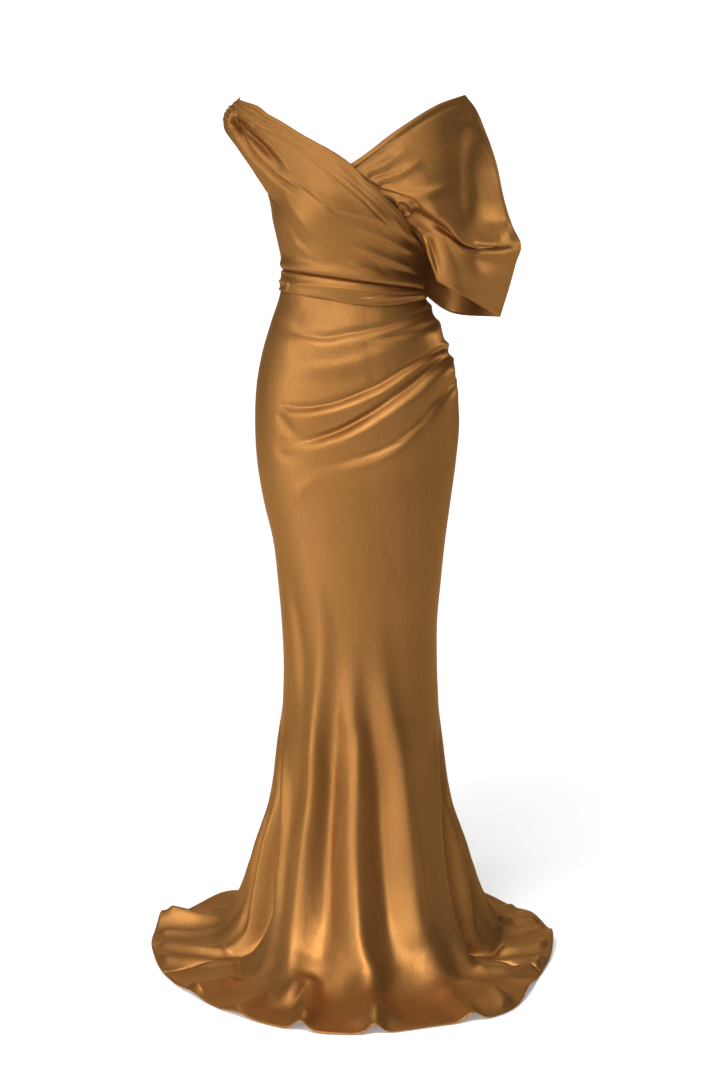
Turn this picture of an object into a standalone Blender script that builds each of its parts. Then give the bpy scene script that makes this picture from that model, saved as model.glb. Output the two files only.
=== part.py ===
"""A long bias-cut satin dress, in its worn shape with nobody in it, as closed cloth walls.

Metres, +Z up, the front towards -Y and the wearer's left towards +X. Heights in the tables are above the
surface that the hem lies on; the origin is the middle of the shoulder line, where a wearer holds the dress.
A place on the cloth is a turn, in degrees from the centre front towards the wearer's left, and a level.
"""

from collections import namedtuple

import bpy
import numpy as np

# Driving sizes
WALL = 0.002
SEAM_GAP = 0.0003
HELD_HEIGHT = 1.45
BODY_FULLNESS = 0.07
POOL_FULLNESS = -0.07
FULLNESS_FROM = -0.05
FULLNESS_BY = 0.40
WAIST_HEIGHT = 1.181
WAIST_TILT = 0.018
HEM_LEVEL = -0.135
SAMPLE_TURN = 0.2
SAMPLE_LEVEL = 0.0005
BODICE_LEVEL = 1.25
SATIN = (0.305, 0.127, 0.032)
SATIN_ROUGHNESS = 0.38

# The body that the cloth stands round. A level is a height down to the floor break and, past it, the way
# that the cloth has run outwards on the floor. The wearer's left and right, front and back are measured from
# the axis.
RING_COLUMNS = ("level", "height", "left", "right", "front", "back")
RINGS = (
    (-0.150, 0.0024, 0.388, 0.358, 0.456, 0.328),
    (-0.100, 0.0028, 0.341, 0.318, 0.406, 0.300),
    (-0.050, 0.0050, 0.290, 0.276, 0.353, 0.276),
    (0.000, 0.0160, 0.244, 0.240, 0.304, 0.258),
    (0.045, 0.0480, 0.212, 0.214, 0.262, 0.236),
    (0.094, 0.0940, 0.191, 0.194, 0.227, 0.217),
    (0.150, 0.1500, 0.177, 0.180, 0.195, 0.198),
    (0.224, 0.2240, 0.163, 0.165, 0.165, 0.176),
    (0.297, 0.2970, 0.152, 0.153, 0.142, 0.156),
    (0.370, 0.3700, 0.146, 0.146, 0.125, 0.138),
    (0.443, 0.4430, 0.137, 0.139, 0.112, 0.122),
    (0.515, 0.5150, 0.135, 0.136, 0.105, 0.110),
    (0.587, 0.5870, 0.138, 0.136, 0.104, 0.106),
    (0.659, 0.6590, 0.144, 0.142, 0.107, 0.108),
    (0.730, 0.7300, 0.152, 0.149, 0.110, 0.116),
    (0.800, 0.8000, 0.168, 0.158, 0.113, 0.130),
    (0.870, 0.8700, 0.179, 0.167, 0.115, 0.140),
    (0.940, 0.9400, 0.182, 0.172, 0.116, 0.140),
    (1.009, 1.0090, 0.178, 0.164, 0.114, 0.128),
    (1.060, 1.0600, 0.168, 0.151, 0.110, 0.112),
    (1.110, 1.1100, 0.153, 0.132, 0.102, 0.096),
    (1.160, 1.1600, 0.137, 0.110, 0.095, 0.086),
    (1.200, 1.2000, 0.133, 0.105, 0.098, 0.088),
    (1.240, 1.2400, 0.139, 0.112, 0.108, 0.094),
    (1.280, 1.2800, 0.147, 0.123, 0.119, 0.100),
    (1.320, 1.3200, 0.156, 0.136, 0.122, 0.104),
    (1.360, 1.3600, 0.190, 0.150, 0.113, 0.102),
    (1.400, 1.4000, 0.217, 0.163, 0.094, 0.092),
    (1.440, 1.4400, 0.232, 0.173, 0.066, 0.070),
    (1.470, 1.4700, 0.222, 0.180, 0.040, 0.042),
    (1.490, 1.4900, 0.201, 0.184, 0.018, 0.018),
)

# Where the pool runs out farther on the floor than its ring: a turn, its half width in degrees and the reach
# at the hem.
REACH_COLUMNS = ("turn", "wide", "reach")
REACHES = ((42, 14, 0.038),)

# How far round from the centre front the side seams run at each level.
SIDE_SEAM_COLUMNS = ("level", "turn")
SIDE_SEAMS = (
    (-0.15, 66),
    (0.00, 64),
    (0.10, 60),
    (0.22, 61),
    (0.33, 68),
    (0.44, 82),
    (0.56, 90),
    (1.20, 90),
)

# Soft fullness of the bodice front on a general figure.
BUST_COLUMNS = ("x", "height", "wide", "tall", "rise")
BUST = (
    (-0.078, 1.292, 0.055, 0.050, 0.010),
    (0.060, 1.296, 0.055, 0.050, 0.008),
)

# Rows of the front skirt, each along a fold across the hip: its level at six stations, from -1 at the
# wearer's right side seam to 1 at the left one. Below them the rows run level.
STATIONS = (-1.0, -0.6, -0.2, 0.2, 0.6, 1.0)
HIP_ROWS = (
    ("crescent", 1.125, 1.107, 1.088, 1.109, 1.133, 1.138),
    ("soft swag", 1.062, 1.050, 1.055, 1.080, 1.099, 1.113),
    ("upper drape", 0.990, 0.973, 0.971, 1.012, 1.054, 1.078),
    ("deep drape", 0.905, 0.900, 0.926, 0.983, 1.030, 1.052),
    ("low drape", 0.855, 0.850, 0.880, 0.921, 0.985, 1.018),
    ("hip", 0.780, 0.775, 0.780, 0.800, 0.840, 0.880),
)
ROW_SHARES = (0.0, 0.22, 0.58, 0.84)
WAIST_SHARES = (0.0, 0.10, 0.20, 0.30, 0.40, 0.50, 0.60, 0.80)
PLAIN_LEVELS = (0.70, 0.60, 0.50, 0.41, 0.33, 0.26, 0.195, 0.135, 0.082, 0.04, 0.0, -0.04, -0.085, HEM_LEVEL)
BACK_LEVELS = (1.12, 1.04, 0.95, 0.86, 0.78)

# Folds on those rows. Each has an edge that looks up: a groove above the row and a crest just below it.
PLEAT_COLUMNS = ("row", "crest", "groove", "up", "down", "starts", "full")
PLEATS = (
    ("crescent", 0.0035, 0.0020, 0.010, 0.028, -1.10, -0.50),
    ("soft swag", 0.0040, 0.0010, 0.012, 0.024, 0.10, 0.90),
    ("upper drape", 0.0080, 0.0020, 0.010, 0.020, -0.95, 0.20),
    ("deep drape", 0.0090, 0.0050, 0.012, 0.034, -0.98, 0.10),
    ("low drape", 0.0060, 0.0015, 0.014, 0.034, -0.60, 0.40),
)
PLEATS_END = 0.84
CREST_ABOVE = 0.35
CREST_BELOW = 0.65
GROOVE_ABOVE = 0.50
GROOVE_WIDE = 0.60

# Flutes of the flare: the turn of each at its start and at the floor, the level where it starts, its half
# width in degrees and its rise at the floor.
FLUTE_COLUMNS = ("top", "bottom", "starts", "wide", "rise")
FRONT_FLUTES = (
    (-50, -52, 0.42, 8, 0.010),
    (-28, -32, 0.66, 8, 0.022),
    (-9, -2, 0.62, 9, 0.022),
    (11, 37, 0.62, 9, 0.022),
    (32, 51, 0.40, 7, 0.010),
)
BACK_FLUTES = (
    (84, 80, 0.46, 11, 0.014),
    (106, 104, 0.50, 12, 0.018),
    (130, 129, 0.56, 12, 0.020),
    (155, 155, 0.58, 12, 0.022),
    (180, 180, 0.60, 11, 0.014),
    (-84, -80, 0.46, 11, 0.014),
    (-106, -104, 0.50, 12, 0.018),
    (-130, -129, 0.56, 12, 0.020),
    (-155, -155, 0.58, 12, 0.022),
)
LYING_SHARE = 0.25
LYING_BELOW = 0.03
LYING_OVER = 0.10
SEAM_VALLEY = 0.016
SEAM_VALLEY_WIDTH = 8.0
SEAM_VALLEY_STARTS = 0.46
SEAM_VALLEY_OVER = 0.30

# Ripples of the hem: direction, half width in degrees and lift off the floor at the edge.
RIPPLE_COLUMNS = ("turn", "wide", "lift")
RIPPLES = (
    (-103, 6, 0.022),
    (-78, 7, 0.006),
    (-50, 6, 0.006),
    (-14, 6, 0.011),
    (5, 6, 0.011),
    (24, 4, 0.010),
    (52, 6, 0.011),
    (88, 7, 0.016),
    (112, 7, 0.008),
    (136, 8, 0.010),
    (160, 8, 0.010),
    (-136, 8, 0.010),
    (-160, 8, 0.010),
)

# Edges of the wrapped bodice as turn and height, from the wearer's right shoulder.
EDGE_COLUMNS = ("turn", "height")
WRAP_NECK = (
    (-90, 1.488),
    (-54, 1.476),
    (-36, 1.456),
    (-15, 1.415),
    (2, 1.374),
    (12, 1.336),
    (30, 1.297),
    (45, 1.268),
    (60, 1.250),
    (84, 1.229),
    (112.5, 1.219),
)
WRAP_ARM = (
    (-90, 1.448),
    (-74, 1.420),
    (-67, 1.389),
    (-67, 1.357),
    (-77, 1.323),
    (-90, 1.300),
    (-90, 1.250),
    (-90, 1.199),
)
BACK_ARM = (
    (-90, 1.448),
    (-106, 1.420),
    (-113, 1.389),
    (-113, 1.357),
    (-103, 1.323),
    (-90, 1.300),
    (-90, 1.250),
    (-90, 1.199),
)
BACK_NECK = (
    (-90, 1.488),
    (-112, 1.476),
    (-128, 1.448),
    (-142, 1.412),
    (-158, 1.366),
    (-180, 1.300),
)
WRAP_END = 112.5
WRAP_ARM_CELLS = 11
WRAP_WAIST_CELLS = 18
WRAP_DOWN_CELLS = 18
BACK_NECK_CELLS = 10
BACK_CENTRE_CELLS = 5
BACK_ACROSS_CELLS = 10

# Pleats that fan from the shoulder gather: place between the neck and the arm edge, half width, rise, and
# the share of the wrap's length that each runs.
WRAP_PLEAT_COLUMNS = ("across", "wide", "rise", "runs")
WRAP_PLEATS = (
    (0.10, 0.050, 0.0035, 1.40),
    (0.30, 0.060, 0.0045, 0.80),
    (0.50, 0.065, 0.0060, 0.85),
    (0.72, 0.060, 0.0040, 0.65),
)
WRAP_PLEAT_START = 0.05
WRAP_BLOUSE = 0.005
WRAP_BLOUSE_ABOVE = 0.014
WRAP_BLOUSE_TALL = 0.010
WRAP_BLOUSE_FREE = 0.006
WRAP_BLOUSE_TURN = 70
WRAP_BLOUSE_FADE = 20

# The band wrapped across the waist: its lower edge at the six stations, and its soft ridges.
BAND_LOWER = (1.166, 1.160, 1.149, 1.139, 1.146, 1.151)
BAND_BELOW_SEAM = 0.0018
BAND_DOWN_CELLS = 5
BAND_RIDGE_COLUMNS = ("across", "wide", "rise")
BAND_RIDGES = (
    (0.30, 0.16, 0.0018),
    (0.72, 0.16, 0.0024),
)
BAND_RIDGES_TO = 0.75
BAND_RIDGES_FADE = 0.20

# The outer seam of the draped sleeve, from the shoulder tip to the hem.
OUTER_SEAM_COLUMNS = ("share", "x", "height")
OUTER_SEAM = (
    (0.00, 0.178, 1.492),
    (0.07, 0.196, 1.469),
    (0.16, 0.212, 1.434),
    (0.30, 0.232, 1.379),
    (0.45, 0.246, 1.318),
    (0.58, 0.261, 1.272),
    (0.67, 0.276, 1.238),
    (0.74, 0.268, 1.212),
    (0.83, 0.259, 1.178),
    (1.00, 0.241, 1.118),
)
OUTER_SEAM_DEPTH = -0.004

# Rows of the sleeve front from the neckline round to the hem: share of the outer seam, then x, height and
# depth in front of the axis at four stations: tucked under the wrap, at its edge, and two on the way out.
SLEEVE_STATIONS = (0.0, 0.15, 0.48, 0.76, 1.0)
SLEEVE_COLUMNS = ("name", "share", "tucked", "edge", "middle", "outer")
SLEEVE_ROWS = (
    ("neck", 0.00, (-0.061, 1.349, 0.109), (-0.015, 1.374, 0.102), (0.061, 1.429, 0.088), (0.128, 1.472, 0.046)),
    ("chest", 0.09, (-0.032, 1.325, 0.118), (0.003, 1.358, 0.108), (0.079, 1.392, 0.108), (0.151, 1.424, 0.070)),
    ("arm top", 0.24, (-0.010, 1.305, 0.119), (0.026, 1.337, 0.113), (0.105, 1.360, 0.118), (0.174, 1.380, 0.088)),
    ("arm", 0.40, (0.000, 1.297, 0.118), (0.030, 1.331, 0.114), (0.122, 1.327, 0.126), (0.189, 1.331, 0.098)),
    ("roll", 0.54, (0.011, 1.285, 0.116), (0.043, 1.320, 0.115), (0.128, 1.302, 0.136), (0.195, 1.285, 0.108)),
    ("lip", 0.64, (0.030, 1.265, 0.108), (0.063, 1.300, 0.109), (0.131, 1.281, 0.137), (0.187, 1.240, 0.113)),
    ("tuck", 0.66, (0.042, 1.256, 0.101), (0.072, 1.288, 0.101), (0.132, 1.272, 0.113), (0.189, 1.237, 0.104)),
    ("flap top", 0.68, (0.084, 1.271, 0.086), (0.096, 1.271, 0.093), (0.137, 1.256, 0.122), (0.191, 1.230, 0.109)),
    ("flap", 0.74, (0.103, 1.252, 0.096), (0.110, 1.249, 0.106), (0.144, 1.239, 0.121), (0.195, 1.218, 0.106)),
    ("drop", 0.85, (0.115, 1.217, 0.110), (0.123, 1.214, 0.116), (0.160, 1.201, 0.120), (0.204, 1.188, 0.095)),
    ("hem", 1.00, (0.129, 1.180, 0.108), (0.137, 1.176, 0.112), (0.168, 1.160, 0.110), (0.203, 1.139, 0.070)),
)
SLEEVE_ROW_CELLS = 3
SLEEVE_ACROSS_CELLS = 16

# Rows of the left back with the sleeve back cut in one: share of the outer seam, height at the centre
# back, the turn and height where the row leaves the body, and a station on its way out to the seam.
BACK_COLUMNS = ("share", "centre", "turn", "height", "x", "out_height", "depth")
BACK_ROWS = (
    (0.00, 1.300, 150, 1.372, 0.128, 1.443, 0.062),
    (0.15, 1.283, 146, 1.338, 0.147, 1.400, 0.075),
    (0.35, 1.262, 140, 1.298, 0.172, 1.342, 0.080),
    (0.55, 1.238, 132, 1.260, 0.182, 1.284, 0.078),
    (0.78, 1.210, 122, 1.212, 0.180, 1.206, 0.062),
    (1.00, 1.181, 115, 1.165, 0.158, 1.124, 0.052),
)
BACK_ROW_CELLS = 3
BACK_BODY_CELLS = 8
BACK_SLEEVE_CELLS = 8
LEAVING_TURN = 12.0
LEAVING_KNOTS = (-1.5, 0.0, 0.5, 1.0)
LEAVING_LIFT = 0.003
LEAVING_FROM = 0.6

SKIRT_FRONT_CELLS = 24
SKIRT_BACK_CELLS = 16


def records(rows, names):
    """Rows of a table as records with named fields."""
    record = namedtuple("record", names)
    return [record(*row) for row in rows]


def column(rows, names, name):
    """One named column of a table as an array."""
    return np.array([row[names.index(name)] for row in rows], float)


def curve(knots, values, at):
    """A smooth curve through the values at the knots, read at other places."""
    knots = np.asarray(knots, float)
    values = np.asarray(values, float)
    at = np.clip(np.asarray(at, float), knots[0], knots[-1])
    flat = values.reshape(len(knots), -1)
    slopes = np.gradient(flat, knots, axis=0)
    i = np.clip(np.searchsorted(knots, at, side="right") - 1, 0, len(knots) - 2)
    gap = (knots[i + 1] - knots[i])[..., None]
    s = ((at - knots[i]) / (knots[i + 1] - knots[i]))[..., None]
    made = flat[i] * (1 + 2 * s) * (1 - s) ** 2 + slopes[i] * gap * s * (1 - s) ** 2
    made = made + flat[i + 1] * s**2 * (3 - 2 * s) - slopes[i + 1] * gap * s**2 * (1 - s)
    return made.reshape(at.shape + values.shape[1:])


def ease(value):
    """0 below 0, 1 above 1 and smooth between."""
    s = np.clip(value, 0.0, 1.0)
    return s * s * (3 - 2 * s)


def bump(distance):
    """A round hill of height 1 at distance 0."""
    return np.exp(-(distance**2))


def unit(vectors):
    """Vectors brought to length 1."""
    return vectors / np.linalg.norm(vectors, axis=-1, keepdims=True)


def between(first, second):
    """Degrees from one turn to another, from -180 to 180."""
    return (first - second + 180.0) % 360.0 - 180.0


def waist_seam(turn):
    """Height of the waist seam, which drops towards the wearer's left."""
    return WAIST_HEIGHT - WAIST_TILT * np.sin(np.radians(turn))


def side_seam(level):
    """Turn of the left side seam; the right one mirrors it."""
    levels, turns = (column(SIDE_SEAMS, SIDE_SEAM_COLUMNS, name) for name in SIDE_SEAM_COLUMNS)
    return curve(levels, turns, level)


def body(turn, level):
    """Points of the plain body at turns and levels."""
    turn, level = np.broadcast_arrays(np.asarray(turn, float), np.asarray(level, float))
    levels = column(RINGS, RING_COLUMNS, "level")
    height, left, right, front, back = (
        curve(levels, column(RINGS, RING_COLUMNS, name), level) for name in RING_COLUMNS[1:]
    )
    sine, cosine = np.sin(np.radians(turn)), np.cos(np.radians(turn))
    middle, half = (right - left) / 2, (right + left) / 2
    depth = np.where(cosine > 0, front, back)
    risen = ease((level - FULLNESS_FROM) / (FULLNESS_BY - FULLNESS_FROM))
    full = POOL_FULLNESS + (BODY_FULLNESS - POOL_FULLNESS) * risen
    x = middle + half * sine * (1 + full * cosine**2)
    y = -depth * cosine * (1 + full * sine**2)
    stretch = np.ones(turn.shape)
    for place in records(REACHES, REACH_COLUMNS):
        stretch += place.reach / np.hypot(x, y) * ease(level / HEM_LEVEL) * bump(between(turn, place.turn) / place.wide)
    return np.stack([x * stretch, y * stretch, height - HELD_HEIGHT], axis=-1)


def body_normal(turn, level):
    """Directions out of the plain body."""
    turn, level = np.broadcast_arrays(np.asarray(turn, float), np.asarray(level, float))
    across = body(turn + SAMPLE_TURN, level) - body(turn - SAMPLE_TURN, level)
    up = body(turn, level + SAMPLE_LEVEL) - body(turn, level - SAMPLE_LEVEL)
    return unit(np.cross(across, up))


def gap_turn(turn, level):
    """Half a seam's gap, as degrees at a turn and level."""
    run = np.linalg.norm(body(turn + SAMPLE_TURN, level) - body(turn - SAMPLE_TURN, level), axis=-1)
    return SEAM_GAP / 2 / (run / (2 * SAMPLE_TURN))


def bust_relief(points):
    """How far the fullness of the bust lifts points on the front."""
    lift = np.zeros(points.shape[:-1])
    for hill in records(BUST, BUST_COLUMNS):
        aside = (points[..., 0] - hill.x) / hill.wide
        above = (points[..., 2] + HELD_HEIGHT - hill.height) / hill.tall
        lift += hill.rise * bump(np.hypot(aside, above))
    return lift * (points[..., 1] < 0)


def pleat_profile(below, crest, groove, up, down):
    """A fold's section across its edge: a groove above, then a crest that falls away below."""
    rise = ease((below + CREST_ABOVE * up) / up)
    fall = np.exp(-np.clip(below - CREST_BELOW * up, 0, None) / down)
    dip = bump((below + GROOVE_ABOVE * up) / (GROOVE_WIDE * up))
    return crest * rise * fall - groove * dip


def hip_relief(station, level):
    """Rise of the folds that fan across the hip from the wearer's left side seam."""
    lift = np.zeros(np.broadcast(station, level).shape)
    rows = {row[0]: row[1:] for row in HIP_ROWS}
    for fold in records(PLEATS, PLEAT_COLUMNS):
        edge = curve(STATIONS, rows[fold.row], station)
        share = ease((station - fold.starts) / (fold.full - fold.starts))
        lift += share * pleat_profile(edge - level, fold.crest, fold.groove, fold.up, fold.down)
    return lift * (1 - ease((np.abs(station) - PLEATS_END) / (1 - PLEATS_END)))


def lying(level):
    """How far the cloth at a level has come to lie, from 0 above the floor break to 1 past it."""
    return ease((LYING_BELOW - level) / LYING_OVER)


def flute_relief(turn, level):
    """Rise of the flare's flutes, which start near the knee and grow down to the floor."""
    lift = np.zeros(np.broadcast(turn, level).shape)
    for flute in records(FRONT_FLUTES + BACK_FLUTES, FLUTE_COLUMNS):
        grown = np.clip((flute.starts - level) / flute.starts, 0, 1)
        centre = flute.top + (flute.bottom - flute.top) * grown
        lift += flute.rise * ease(grown) * bump(between(turn, centre) / flute.wide)
    return lift * (1 - (1 - LYING_SHARE) * lying(level))


def seam_valley(turn, level):
    """The hollow that runs down each side seam of the flare."""
    seam = side_seam(level)
    grown = ease((SEAM_VALLEY_STARTS - level) / SEAM_VALLEY_OVER) * (1 - lying(level))
    near = bump(between(turn, seam) / SEAM_VALLEY_WIDTH) + bump(between(turn, -seam) / SEAM_VALLEY_WIDTH)
    return -SEAM_VALLEY * grown * near


def ripple_lift(turn, level):
    """How far the hem's ripples stand off the floor."""
    lift = np.zeros(np.broadcast(turn, level).shape)
    for ripple in records(RIPPLES, RIPPLE_COLUMNS):
        lift += ripple.lift * ease(level / HEM_LEVEL) * bump(between(turn, ripple.turn) / ripple.wide)
    return lift


def skirt(turn, level, extra=0.0):
    """Points of the skirt's outer face, and the directions out of the body there."""
    turn, level = np.broadcast_arrays(np.asarray(turn, float), np.asarray(level, float))
    normal = body_normal(turn, level)
    relief = flute_relief(turn, level) + seam_valley(turn, level) + extra
    points = body(turn, level) + relief[..., None] * normal
    points[..., 2] += ripple_lift(turn, level)
    return points, normal


def hip_levels(station, place):
    """Level of the front skirt's rows at a station; place counts rows down from the waist seam."""
    rows = [waist_seam(90.0 * station) - SEAM_GAP / 2]
    rows += [curve(STATIONS, row[1:], station) for row in HIP_ROWS]
    rows += [np.full(station.shape, level) for level in PLAIN_LEVELS]
    return curve(np.arange(len(rows)), np.stack(rows), place)


def satin(name):
    """A material with the satin's plain colour and gloss."""
    material = bpy.data.materials.new(name)
    material.use_nodes = True
    shader = material.node_tree.nodes["Principled BSDF"]
    shader.inputs["Base Color"].default_value = (*SATIN, 1.0)
    shader.inputs["Roughness"].default_value = SATIN_ROUGHNESS
    return material


def wall(name, outer, outward, thickness=WALL):
    """A closed cloth wall. Rows of the grid run down the cloth and columns towards larger turns."""
    rows, columns = outer.shape[:2]
    inner = outer - outward * np.broadcast_to(thickness, (rows, columns))[..., None]
    points = np.concatenate([outer.reshape(-1, 3), inner.reshape(-1, 3)])
    behind = rows * columns
    faces = []
    for j in range(rows - 1):
        for i in range(columns - 1):
            a = j * columns + i
            b, c, d = a + 1, a + columns + 1, a + columns
            faces.append((a, d, c, b))
            faces.append((a + behind, b + behind, c + behind, d + behind))
    rim = list(range(columns))
    rim += [j * columns + columns - 1 for j in range(1, rows)]
    rim += [(rows - 1) * columns + i for i in range(columns - 2, -1, -1)]
    rim += [j * columns for j in range(rows - 2, 0, -1)]
    for a, b in zip(rim, rim[1:] + rim[:1]):
        faces.append((a, b, b + behind, a + behind))
    mesh = bpy.data.meshes.new(name)
    mesh.from_pydata(points.tolist(), [], faces)
    mesh.update()
    mesh.shade_smooth()
    mesh.materials.append(satin(name))
    made = bpy.data.objects.new(name, mesh)
    bpy.context.scene.collection.objects.link(made)
    return made


def grid_normals(points):
    """Directions out of a grid of points, from its own neighbours."""
    across = np.gradient(points, axis=1)
    up = -np.gradient(points, axis=0)
    return unit(np.cross(across, up))


def along(path, cells):
    """Places spaced evenly along an edge given as turns and heights."""
    path = np.array(path, float)
    points = body(path[:, 0], path[:, 1])
    run = np.concatenate([[0], np.cumsum(np.linalg.norm(np.diff(points, axis=0), axis=-1))])
    return curve(run, path, np.linspace(0, run[-1], cells + 1))


def patch(top, bottom, left, right):
    """A grid of places between four edges that meet at their ends."""
    u = np.linspace(0, 1, len(top))[None, :, None]
    v = np.linspace(0, 1, len(left))[:, None, None]
    across = (1 - v) * top[None] + v * bottom[None]
    down = (1 - u) * left[:, None] + u * right[:, None]
    corners = (1 - v) * ((1 - u) * top[0] + u * top[-1]) + v * ((1 - u) * bottom[0] + u * bottom[-1])
    return across + down - corners


def waist_edge(first, last, cells):
    """Places along the bodice's lower edge."""
    turn = np.linspace(first, last, cells + 1)
    return np.stack([turn, waist_seam(turn) + SEAM_GAP / 2], axis=-1)


def wrap_relief(places, u, v):
    """Rise of the wrap's pleats and of the fullness that hangs over the waist."""
    lift = np.zeros(places.shape[:-1])
    for pleat in records(WRAP_PLEATS, WRAP_PLEAT_COLUMNS):
        fade = ease(u / WRAP_PLEAT_START) * (1 - ease(u / pleat.runs))
        lift += pleat.rise * bump((v - pleat.across) / pleat.wide) * fade
    above = places[..., 1] - waist_seam(places[..., 0])
    front = 1 - ease((np.abs(places[..., 0]) - WRAP_BLOUSE_TURN) / WRAP_BLOUSE_FADE)
    hang = bump((above - WRAP_BLOUSE_ABOVE) / WRAP_BLOUSE_TALL) * ease(above / WRAP_BLOUSE_FREE)
    return lift + WRAP_BLOUSE * hang * front


def wrap_over():
    """Front wrap from the gathered shoulder across to the other side, down to the waist seam."""
    start = -90 + gap_turn(-90, BODICE_LEVEL)
    arm = along(WRAP_ARM, WRAP_ARM_CELLS)
    lower = np.concatenate([arm[:-1], waist_edge(-90, WRAP_END, WRAP_WAIST_CELLS)])
    lower[WRAP_ARM_CELLS, 1] = waist_seam(-90) + SEAM_GAP / 2
    neck = along(WRAP_NECK, WRAP_ARM_CELLS + WRAP_WAIST_CELLS)
    v = np.linspace(0, 1, WRAP_DOWN_CELLS + 1)[:, None]
    left = neck[0] + (lower[0] - neck[0]) * v
    right = neck[-1] + (lower[-1] - neck[-1]) * v
    places = patch(neck, lower, left, right)
    places[..., 0] = np.maximum(places[..., 0], start)
    u = np.linspace(0, 1, places.shape[1])[None]
    normal = body_normal(places[..., 0], places[..., 1])
    plain = body(places[..., 0], places[..., 1])
    relief = bust_relief(plain) + wrap_relief(places, u, v)
    return wall("wrap_over", plain + relief[..., None] * normal, normal)


def back_right():
    """Right back, from its half of the strap down to the waist seam."""
    end = -90 - gap_turn(-90, BODICE_LEVEL)
    cells = BACK_NECK_CELLS + BACK_CENTRE_CELLS
    neck = along(BACK_NECK, BACK_NECK_CELLS)
    centre = along((BACK_NECK[-1], (-180, BODICE_LEVEL), (-180, WAIST_HEIGHT + SEAM_GAP / 2)), BACK_CENTRE_CELLS)
    inner_edge = np.concatenate([neck[:-1], centre])
    arm = along(BACK_ARM, cells)
    arm[-1, 1] = waist_seam(-90) + SEAM_GAP / 2
    lower = waist_edge(-180, -90, BACK_ACROSS_CELLS)
    v = np.linspace(0, 1, BACK_ACROSS_CELLS + 1)[:, None]
    shoulder = inner_edge[0] + (arm[0] - inner_edge[0]) * v
    places = patch(shoulder, lower, inner_edge, arm)
    places[..., 0] = np.clip(places[..., 0], -180 + gap_turn(180, BODICE_LEVEL), end)
    plain = body(places[..., 0], places[..., 1])
    return wall("back_right", plain, body_normal(places[..., 0], places[..., 1]))


def outer_seam(share, side):
    """Points of a sleeve half's outer face at the outer seam; side is -1 in front and 1 behind."""
    shares, x, height = (column(OUTER_SEAM, OUTER_SEAM_COLUMNS, name) for name in OUTER_SEAM_COLUMNS)
    x, height = curve(shares, x, share), curve(shares, height, share)
    y = np.full(x.shape, OUTER_SEAM_DEPTH + side * (WALL + SEAM_GAP / 2))
    return np.stack([x, y, height - HELD_HEIGHT], axis=-1)


def sleeve_front():
    """Under-wrap cut in one with the sleeve front, with the cowl fold tucked across it."""
    index = np.arange(len(SLEEVE_ROWS))
    place = np.linspace(0, index[-1], SLEEVE_ROW_CELLS * index[-1] + 1)
    rows = records(SLEEVE_ROWS, SLEEVE_COLUMNS)
    stations = curve(index, [(row.tucked, row.edge, row.middle, row.outer) for row in rows], place)
    free = np.stack([stations[..., 0], -stations[..., 2], stations[..., 1] - HELD_HEIGHT], axis=-1)
    share = curve(index, [row.share for row in rows], place)
    seam = outer_seam(share, -1)[:, None]
    knots = np.concatenate([free, seam], axis=1)
    u = np.linspace(0, 1, SLEEVE_ACROSS_CELLS + 1)
    outer = np.stack([curve(SLEEVE_STATIONS, row, u) for row in knots])
    outward = grid_normals(outer)
    outward[:, -1] = (0, -1, 0)
    return wall("sleeve_front", outer, outward)


def back_left():
    """Left back cut in one with the sleeve back."""
    index = np.arange(len(BACK_ROWS))
    place = np.linspace(0, index[-1], BACK_ROW_CELLS * index[-1] + 1)
    share, centre, turn, height, x, out_height, depth = (
        curve(index, column(BACK_ROWS, BACK_COLUMNS, name), place) for name in BACK_COLUMNS
    )
    t = np.linspace(0, 1, BACK_BODY_CELLS + 1)
    start = 180 - gap_turn(180, BODICE_LEVEL)
    turns = start + (turn[:, None] - start) * t
    levels = centre[:, None] + (height - centre)[:, None] * t
    lift = LEAVING_LIFT * ease((t - LEAVING_FROM) / (1 - LEAVING_FROM))
    levels[-1] = waist_seam(turns[-1]) + SEAM_GAP / 2 + lift
    near = body(turns, levels)
    station = np.stack([x, depth, out_height - HELD_HEIGHT], axis=-1)
    before = body(turns[:, -1] + LEAVING_TURN, levels[:, -1])
    knots = np.stack([before, near[:, -1], station, outer_seam(share, 1)], axis=1)
    u = np.linspace(0, 1, BACK_SLEEVE_CELLS + 1)[1:]
    far = np.stack([curve(LEAVING_KNOTS, row, u) for row in knots])
    outer = np.concatenate([near, far], axis=1)[:, ::-1]
    outward = grid_normals(outer)
    outward[:, -len(t):] = body_normal(turns, levels)[:, ::-1]
    outward[:, 0] = (0, 1, 0)
    return wall("back_left", outer, outward)


def front_skirt_grid():
    """Stations, levels, points and outward directions of the front skirt's grid."""
    station = np.linspace(-1, 1, SKIRT_FRONT_CELLS + 1)
    folds = list(WAIST_SHARES) + [i + share for i in range(1, len(HIP_ROWS)) for share in ROW_SHARES]
    plain = range(len(HIP_ROWS), len(HIP_ROWS) + len(PLAIN_LEVELS) + 1)
    level = hip_levels(station, np.array(folds + list(plain), float))
    station = np.broadcast_to(station, level.shape)
    seam = side_seam(level)
    turn = station * (seam - gap_turn(seam, level))
    points, normal = skirt(turn, level, hip_relief(station, level))
    return station, level, points, normal


def skirt_front():
    """Front skirt with the hip folds, the flutes and its part of the pooled hem."""
    _, _, points, normal = front_skirt_grid()
    return wall("skirt_front", points, normal)


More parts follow.
